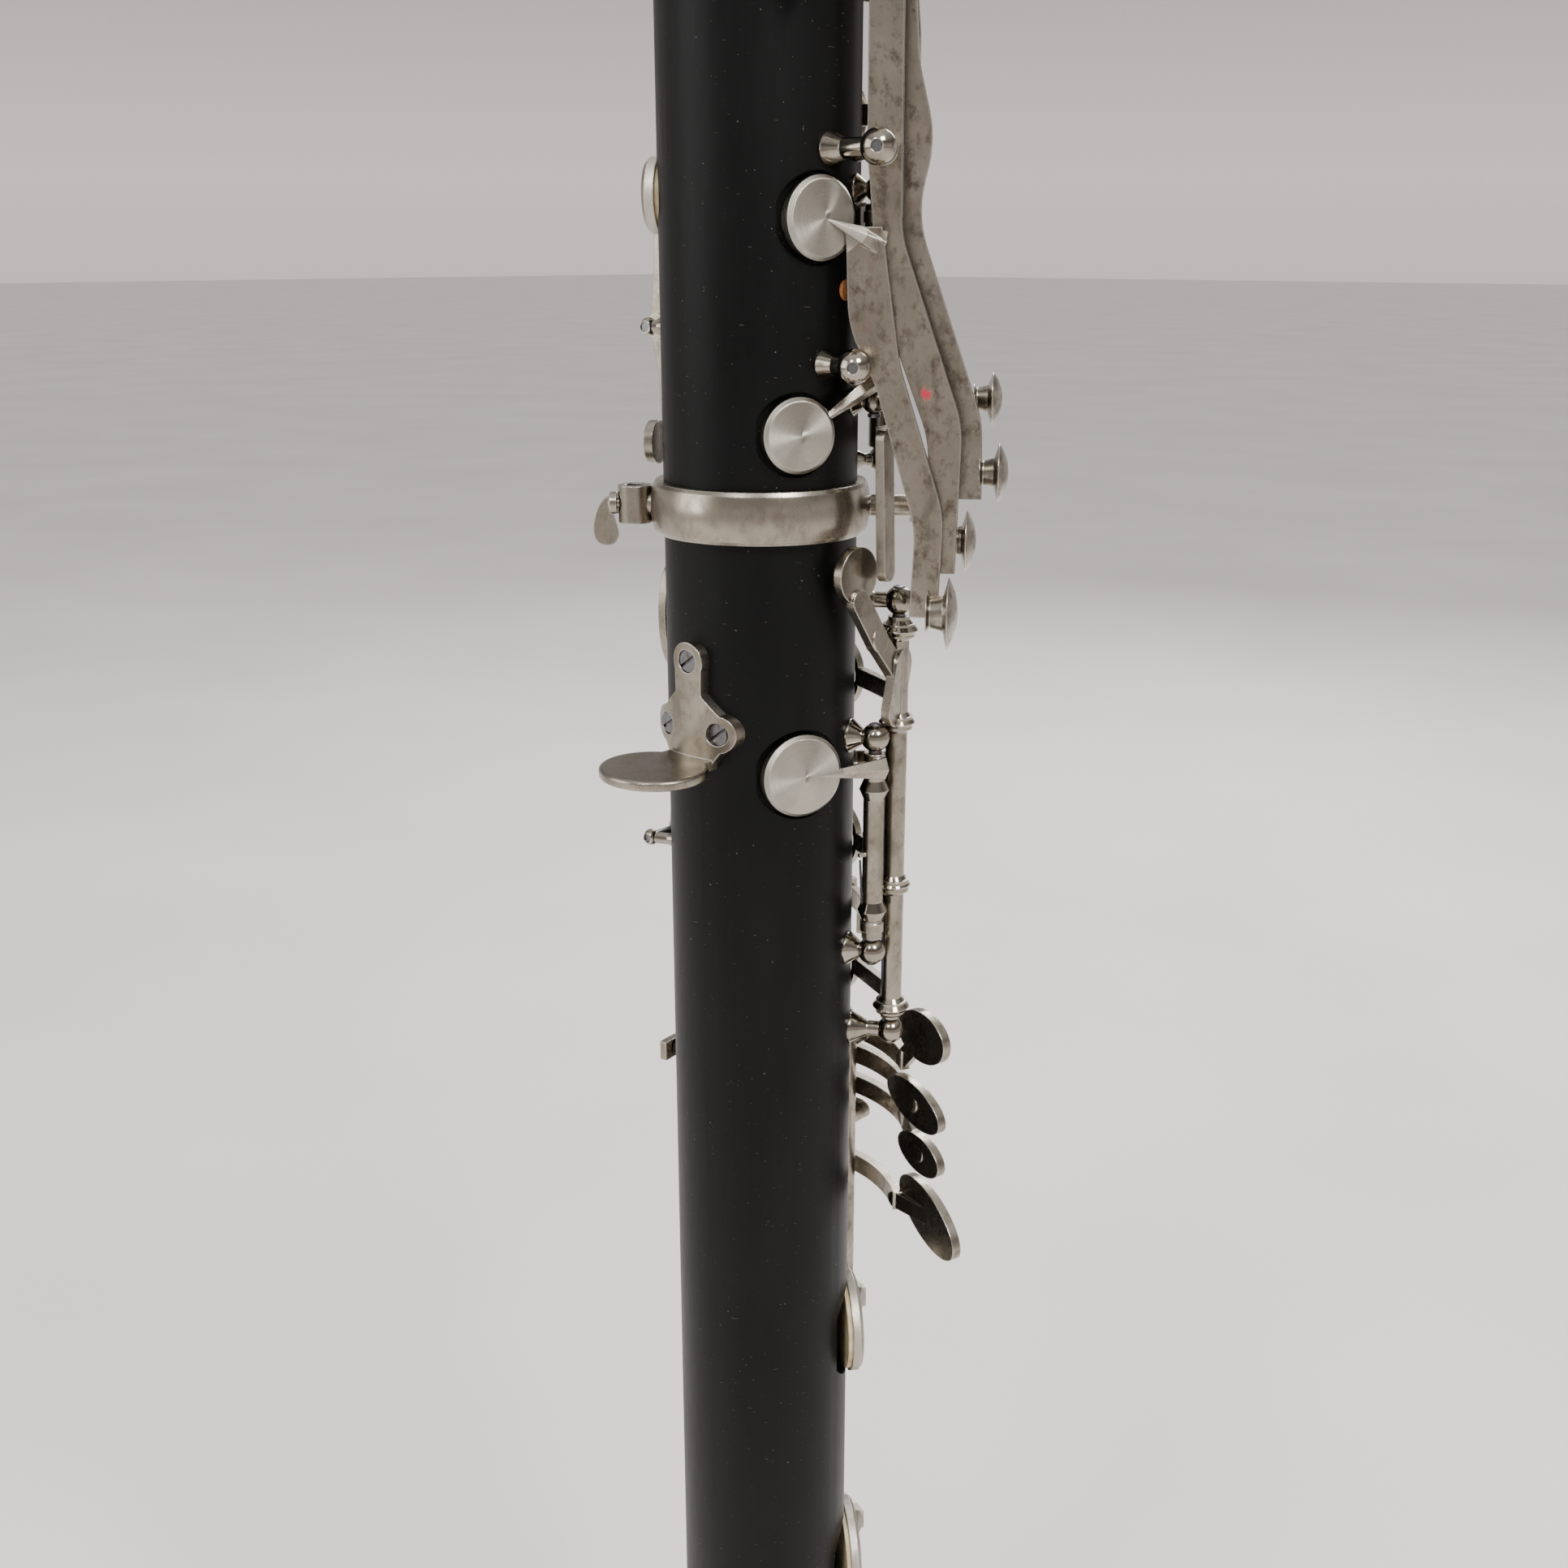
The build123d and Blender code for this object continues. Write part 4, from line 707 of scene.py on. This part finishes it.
def dress(material: bpy.types.Material, *nodes: str) -> None:
    """Give CAD nodes one material.

    Args:
        material: the finish.
        *nodes: names of the nodes.
    """
    for node in nodes:
        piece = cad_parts[node]
        piece.data.materials.clear()
        piece.data.materials.append(material)


# ---------------------------------------------------------------- sub-assemblies
@dataclass
class WoodwindBody:
    """The four resin joints with their rings, corks and fixed fittings."""

    palette: Palette
    resin: tuple[str, ...] = ("bell", "lower_joint", "upper_joint", "barrel")
    rings: tuple[str, ...] = ("bell_ring", "lyre_ring", "barrel_rings", "thumb_rest",
                              "lyre_thumbscrew")
    posts: tuple[str, ...] = ("upper_posts", "lower_posts")
    steel: tuple[str, ...] = ("hinge_rods", "thumb_rest_screws")

    def dress(self) -> None:
        """Give each fixed part its finish."""
        dress(self.palette.resin, *self.resin)
        dress(self.palette.metal, *self.rings)
        dress(self.palette.bright, *self.posts)
        dress(self.palette.polished_resin, "thumb_tube")
        dress(self.palette.cork, "tenon_corks")
        dress(self.palette.screw, *self.steel)


@dataclass
class Mouthpiece:
    """Mouthpiece, reed and ligature."""

    palette: Palette
    clamp: tuple[str, ...] = ("ligature", "ligature_screw_lower", "ligature_screw_upper")

    def dress(self) -> None:
        """Give the mouthpiece group its finishes."""
        dress(self.palette.polished_resin, "mouthpiece")
        dress(self.palette.cork, "mouthpiece_cork")
        dress(self.palette.cane, "reed")
        dress(self.palette.bright, *self.clamp)


@dataclass
class Key:
    """One key: its node, its pad node, its cup, how tarnished it is, and any spot of paint."""

    node: str
    pad: str | None = None
    cup: Cup | None = None
    tarnish: float = 0.5
    paint_at: Triple | None = None

    def dress(self, palette: Palette) -> None:
        """Give the key its own metal, spun on the cup, and its pad the skin.

        Args:
            palette: the shared finishes.
        """
        metal = KeyMetal(f"{self.node}_metal", cup=self.cup, tarnish=self.tarnish,
                         paint_at=self.paint_at)
        dress(metal.build(), self.node)
        if self.pad:
            dress(palette.skin, self.pad)


@dataclass
class NeedleSpring:
    """Blued needle spring: held in a post, its point resting in a hook on the key tube."""

    name: str
    start: Vector
    end: Vector
    radius: float = 0.28
    taper: float = 0.55

    def build(self, palette: Palette) -> None:
        """Draw the tapered wire."""
        rod_between(self.start, self.end, self.radius, self.radius * self.taper)
        settle(self.name, palette.steel, STATIC)


@dataclass
class Hook:
    """Small catch on a key tube that the needle spring pushes."""

    name: str
    body: str
    at: Vector
    direction: Vector
    length: float = 1.1
    root: float = 0.42
    tip: float = 0.30

    def build(self, palette: Palette) -> None:
        """Stand a short tapered pin on the tube."""
        end = self.at + self.direction * self.length * MM
        rod_between(self.at, end, self.root, self.tip, sides=12)
        settle(self.name, palette.metal, self.body)


@dataclass
class Collar:
    """Pointed collar turned on a key tube, where an arm is soldered on or a tube ends."""

    name: str
    body: str
    centre: Vector
    outer: float
    inner: float = 1.45
    half_height: float = 1.5

    def build(self, palette: Palette) -> None:
        """Slip the collar over the tube."""
        pointed_collar(self.centre, self.inner, self.outer, self.half_height)
        settle(self.name, palette.bright, self.body, SHARP_ABOVE_ON_COLLARS)


@dataclass
class PivotScrew:
    """Slotted head of a hinge rod, sunk in its post ball."""

    name: str
    centre: Vector
    direction: Vector
    radius: float = 0.85
    thickness: float = 0.5
    bevel: float = 0.1
    saw_length: float = 3.0
    saw_width: float = 0.3
    saw_height: float = 0.9

    def build(self, palette: Palette) -> None:
        """Turn the head, then saw its slot with a thin box.

        The saw's length is a multiple of the head's radius, and its height one of the thickness.

        Args:
            palette: the shared finishes.
        """
        disc(self.centre, self.direction, self.radius, self.thickness, self.bevel, sides=24)
        head = bpy.context.active_object
        deselect()
        bpy.ops.mesh.primitive_cube_add(
            size=1, location=self.centre + self.direction * self.thickness * 0.5 * MM,
            rotation=aim(self.direction),
            scale=(self.radius * self.saw_length * MM, self.saw_width * MM,
                   self.thickness * self.saw_height * MM))
        saw = bpy.context.active_object
        deselect()
        head.select_set(True)
        bpy.context.view_layer.objects.active = head
        slot = head.modifiers.new("slot", "BOOLEAN")
        slot.object = saw
        slot.operation = "DIFFERENCE"
        bpy.ops.object.modifier_apply(modifier="slot")
        bpy.data.objects.remove(saw)
        settle(self.name, palette.screw, STATIC)


@dataclass
class Rod:
    """A hinge rod along the bore, with its slotted ends, its needle spring and the spring's hook.

    Bearings are in degrees and sizes in mm. low and high are the heights of its posts, and
    spring_side is 1 towards larger bearings and -1 towards smaller ones.
    """

    name: str
    bearing: float
    distance: float
    low: float
    high: float
    body: str
    spring_side: float = 1.0
    spring_length: float = 15.0
    screw_beyond_post: float = 1.75
    root_side: float = 0.5
    root_inwards: float = 0.9
    root_up: float = 0.4
    tip_side: float = 1.25
    tip_inwards: float = 1.55
    hook_side: float = 0.78
    hook_inwards: float = 0.62
    hook_past_tip: float = 0.9
    hook_from_axis: float = 1.35

    def centre(self, height: float) -> Vector:
        """Point on the rod's axis."""
        return spot(self.bearing, self.distance, height)

    def build(self, palette: Palette) -> None:
        """Add the slotted ends, the needle spring and its hook.

        Args:
            palette: the shared finishes.
        """
        foot = self.centre(self.low - self.screw_beyond_post)
        top = self.centre(self.high + self.screw_beyond_post)
        PivotScrew(f"{self.name}_screw_low", foot, -UP).build(palette)
        PivotScrew(f"{self.name}_screw_high", top, UP).build(palette)
        side = sideways(self.bearing) * self.spring_side
        inwards = -outward(self.bearing)
        tip_height = self.low + self.spring_length
        root = self.centre(self.low + self.root_up) + (
            side * self.root_side + inwards * self.root_inwards) * MM
        tip = self.centre(tip_height) + (
            side * self.tip_side + inwards * self.tip_inwards) * MM
        NeedleSpring(f"{self.name}_spring", root, tip).build(palette)
        lean = (side * self.hook_side + inwards * self.hook_inwards).normalized()
        hook_at = self.centre(tip_height + self.hook_past_tip) + lean * self.hook_from_axis * MM
        Hook(f"{self.name}_hook", self.body, hook_at, lean).build(palette)


@dataclass
class KeyCork:
    """Cork bumper glued under a key or on the body where a key comes to rest."""

    name: str
    body: str
    centre: Vector
    direction: Vector
    radius: float
    thickness: float
    bevel: float = 0.12

    def build(self, palette: Palette) -> None:
        """Cut a small round of sheet cork."""
        disc(self.centre, self.direction, self.radius, self.thickness, self.bevel, sides=28)
        settle(self.name, palette.key_cork, self.body)


@dataclass
class Keywork:
    """Every key, with its springs, hooks, screws, corks and collars."""

    palette: Palette
    keys: list[Key]
    rods: list[Rod]
    corks: list[KeyCork]
    collars: list[Collar]

    def dress(self) -> None:
        """Give every key its finish."""
        for key in self.keys:
            key.dress(self.palette)

    def build(self) -> None:
        """Add the small parts that go with the keys."""
        for piece in (*self.rods, *self.corks, *self.collars):
            piece.build(self.palette)


@dataclass(frozen=True)
class Softbox:
    """A square soft light: its place and size in metres, and its power in watts."""

    name: str
    place: Triple
    size: float
    power: float
    faces: Triple = (0, 0, 0.33)

    def build(self) -> None:
        """Hang the light so that it faces the clarinet's middle."""
        deselect()
        towards = Vector(self.faces) - Vector(self.place)
        bpy.ops.object.light_add(type="AREA", location=self.place,
                                 rotation=towards.to_track_quat("-Z", "Y").to_euler())
        lamp = bpy.context.active_object
        lamp.name = self.name
        lamp.data.size = self.size
        lamp.data.energy = self.power
        lamp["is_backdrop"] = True


@dataclass
class Studio:
    """Pale floor, soft lights and the camera, in metres and degrees; the lens is in mm.

    sky gives the room's colour from the floor to overhead, as shares of the height it spans.
    """

    palette: Palette
    camera_at: Triple = (-0.1549, 0.1673, 0.3663)
    heading: tuple[float, float] = (0.669, -0.743)
    dip: float = 17.6
    lens: float = 38.66
    sensor: float = 36
    nearest: float = 0.01
    floor_size: float = 40
    sky_low: float = -0.3
    sky_high: float = 1.0
    sky_strength: float = 1.1
    sky: tuple[tuple[float, str], ...] = (
        (0.18, "cfc7c6"), (0.26, "e4dcda"), (0.48, "6f6b69"), (1.0, "ffffff"))
    lights: tuple[Softbox, ...] = (
        Softbox("key_light", (-1.0, 0.25, 1.35), 0.45, 20),
        Softbox("fill_light", (0.75, 1.1, 0.7), 0.9, 8),
        Softbox("rim_light", (0.45, -1.1, 1.0), 0.6, 14),
        Softbox("near_light", (-0.25, 0.9, 1.2), 0.2, 5))

    def build(self) -> None:
        """Set the floor, the world, the lights and the camera."""
        deselect()
        bpy.ops.mesh.primitive_plane_add(size=self.floor_size)
        floor = bpy.context.active_object
        floor.name = "floor"
        floor.data.materials.append(self.palette.floor)
        floor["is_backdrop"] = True
        world = bpy.data.worlds.new("studio")
        world.use_nodes = True
        self._paint_sky(world)
        bpy.context.scene.world = world
        for light in self.lights:
            light.build()
        self._set_camera()

    def _paint_sky(self, world: bpy.types.World) -> None:
        """Room light that is bright overhead, dark at eye level and grey below.

        Args:
            world: the world that it lights.
        """
        tree = world.node_tree
        place = tree.nodes.new("ShaderNodeTexCoord").outputs["Generated"]
        split = tree.nodes.new("ShaderNodeSeparateXYZ")
        ramp = tree.nodes.new("ShaderNodeValToRGB")
        scale = tree.nodes.new("ShaderNodeMapRange")
        background = tree.nodes["Background"]
        tree.links.new(place, split.inputs[0])
        tree.links.new(split.outputs["Z"], scale.inputs["Value"])
        scale.inputs["From Min"].default_value = self.sky_low
        scale.inputs["From Max"].default_value = self.sky_high
        tree.links.new(scale.outputs["Result"], ramp.inputs["Fac"])
        tree.links.new(ramp.outputs["Color"], background.inputs["Color"])
        stops = ramp.color_ramp.elements
        (low, low_colour), *between, (high, high_colour) = self.sky
        stops[0].position, stops[0].color = low, linear(low_colour)
        stops[1].position, stops[1].color = high, linear(high_colour)
        for position, colour in between:
            stops.new(position).color = linear(colour)
        background.inputs["Strength"].default_value = self.sky_strength

    def _set_camera(self) -> None:
        """The camera, near the back of the clarinet and a little above its middle."""
        flat = Vector((*self.heading, 0)).normalized()
        look = flat * cos(radians(self.dip)) - Vector((0, 0, sin(radians(self.dip))))
        data = bpy.data.cameras.new("camera")
        data.lens = self.lens
        data.sensor_width = self.sensor
        data.clip_start = self.nearest
        camera = bpy.data.objects.new("camera", data)
        camera.location = self.camera_at
        camera.rotation_euler = look.to_track_quat("-Z", "Y").to_euler()
        bpy.context.scene.collection.objects.link(camera)
        bpy.context.scene.camera = camera


# ---------------------------------------------------------------- where everything stands
def all_keys() -> list[Key]:
    """Every key with its pad, its cup and how tarnished it is."""
    paint = tuple(spot(56, 22.4, 349) + sideways(56) * 6.9 * MM)
    return [
        Key("lower_ring_key", "lower_ring_pad", Cup(0, 295.5, 4.6), 0.45),
        Key("middle_ring_key", "middle_ring_pad", Cup(0, 397.4, 4.5), 0.4),
        Key("index_ring_key", "index_ring_pad", Cup(0, 427.0, 4.5), 0.4),
        Key("thumb_ring_key", "thumb_ring_pad", Cup(163, 404.6, 4.5), 0.35),
        Key("left_sliver_key", "left_sliver_pad", Cup(116.5, 344.0, 4.8), 0.4),
        Key("right_sliver_key", "right_sliver_pad", Cup(113, 299.0, 5.7), 0.4),
        Key("g_sharp_key", "g_sharp_pad", Cup(-66, 457.0, 4.6), 0.4),
        Key("throat_a_key", "throat_a_pad", Cup(8, 473.0, 4.4), 0.4),
        Key("register_key", "register_pad", Cup(180, 500.0, 4.2), 0.35),
        Key("c_sharp_key", "c_sharp_pad", Cup(238, 373.0, 4.75), 0.4),
        Key("f_sharp_key", "f_sharp_pad", Cup(45, 205.0, 7.8), 0.6),
        Key("f_key", "f_pad", Cup(45, 161.0, 7.8), 0.6),
        Key("e_key", "e_pad", Cup(42, 129.0, 8.0), 0.6),
        Key("a_flat_key", "a_flat_pad", Cup(-75, 216.0, 6.0), 0.6),
        Key("left_f_sharp_lever", tarnish=0.6),
        Key("left_f_lever", tarnish=0.6),
        Key("left_e_lever", tarnish=0.6),
        Key("side_key_1", "side_pad_1", Cup(104, 370.0, 5.05), 0.85),
        Key("side_key_2", "side_pad_2", Cup(100, 442.0, 4.7), 0.85, paint),
        Key("side_key_3", "side_pad_3", Cup(84, 459.0, 4.6), 0.8),
        Key("side_key_4", "side_pad_4", Cup(70, 477.0, 4.6), 0.75),
    ]


def all_rods() -> list[Rod]:
    """Every hinge rod along the bore."""
    return [
        Rod("lower_stack", 56.5, 19.0, 257.1, 321.0, "lower_ring_key", spring_length=22),
        Rod("right_sliver", 67.0, 16.6, 270.7, 302.4, "right_sliver_key", spring_length=14),
        Rod("left_sliver", 68.0, 15.8, 347.6, 373.5, "left_sliver_key", -1, 16),
        Rod("thumb", 118.0, 16.5, 398.0, 428.0, "thumb_ring_key", -1),
        Rod("g_sharp", -38.0, 17.0, 436.0, 466.0, "g_sharp_key", -1),
        Rod("f_sharp", 8.0, 17.0, 197.0, 252.0, "f_sharp_key", spring_length=20),
        Rod("f", -8.0, 17.0, 153.0, 252.0, "f_key", spring_length=24),
        Rod("e", -24.0, 17.0, 118.0, 252.0, "e_key", spring_length=24),
        Rod("a_flat", -40.0, 17.0, 203.0, 230.0, "a_flat_key", -1, 12),
    ]


def all_corks() -> list[KeyCork]:
    """Cork bumpers: on the body under the side keys, and under the touches of pinned keys."""
    places = [
        ("side_cork_1", STATIC, 82.0, 13.25, 361.5, 1.3, 0.5),
        ("side_cork_2", STATIC, 81.4, 13.75, 434.5, 1.8, 1.5),
        ("side_cork_3", STATIC, 59.7, 13.65, 449.5, 1.8, 1.3),
        ("side_cork_4", STATIC, 47.0, 13.65, 464.0, 1.6, 1.3),
        ("register_cork", "register_key", 180, 14.9, 433.5, 2.4, 0.5),
        ("throat_a_cork", "throat_a_key", 8, 15.7, 441.0, 1.7, 0.6),
    ]
    return [KeyCork(name, body, spot(bearing, distance, height), outward(bearing), radius, thick)
            for name, body, bearing, distance, height, radius, thick in places]


def all_collars() -> list[Collar]:
    """The pointed collars of the lower stack's ring key and of the sliver beside it."""
    ring_key = [Collar(f"ring_collar_{int(z)}", "lower_ring_key", spot(56.5, 19.0, z), outer)
                for z, outer in ((317.0, 2.7), (304.0, 2.55), (280.0, 2.4), (261.0, 2.7))]
    sliver = [Collar(f"sliver_collar_{int(z)}", "right_sliver_key", spot(67.0, 16.6, z), 2.1)
              for z in (295.0, 277.0)]
    return ring_key + sliver


def record_size() -> None:
    """Bring the scene's placements up to date."""
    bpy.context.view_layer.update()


def main() -> None:
    """Dress the CAD parts, add the small pieces, and set up the studio."""
    palette = Palette()
    WoodwindBody(palette).dress()
    Mouthpiece(palette).dress()
    keywork = Keywork(palette, all_keys(), all_rods(), all_corks(), all_collars())
    keywork.dress()
    keywork.build()
    Studio(palette).build()
    record_size()
    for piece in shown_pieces():
        log.info("%s: %d faces", piece.name, len(piece.data.polygons))


if __name__ == "__main__":
    main()
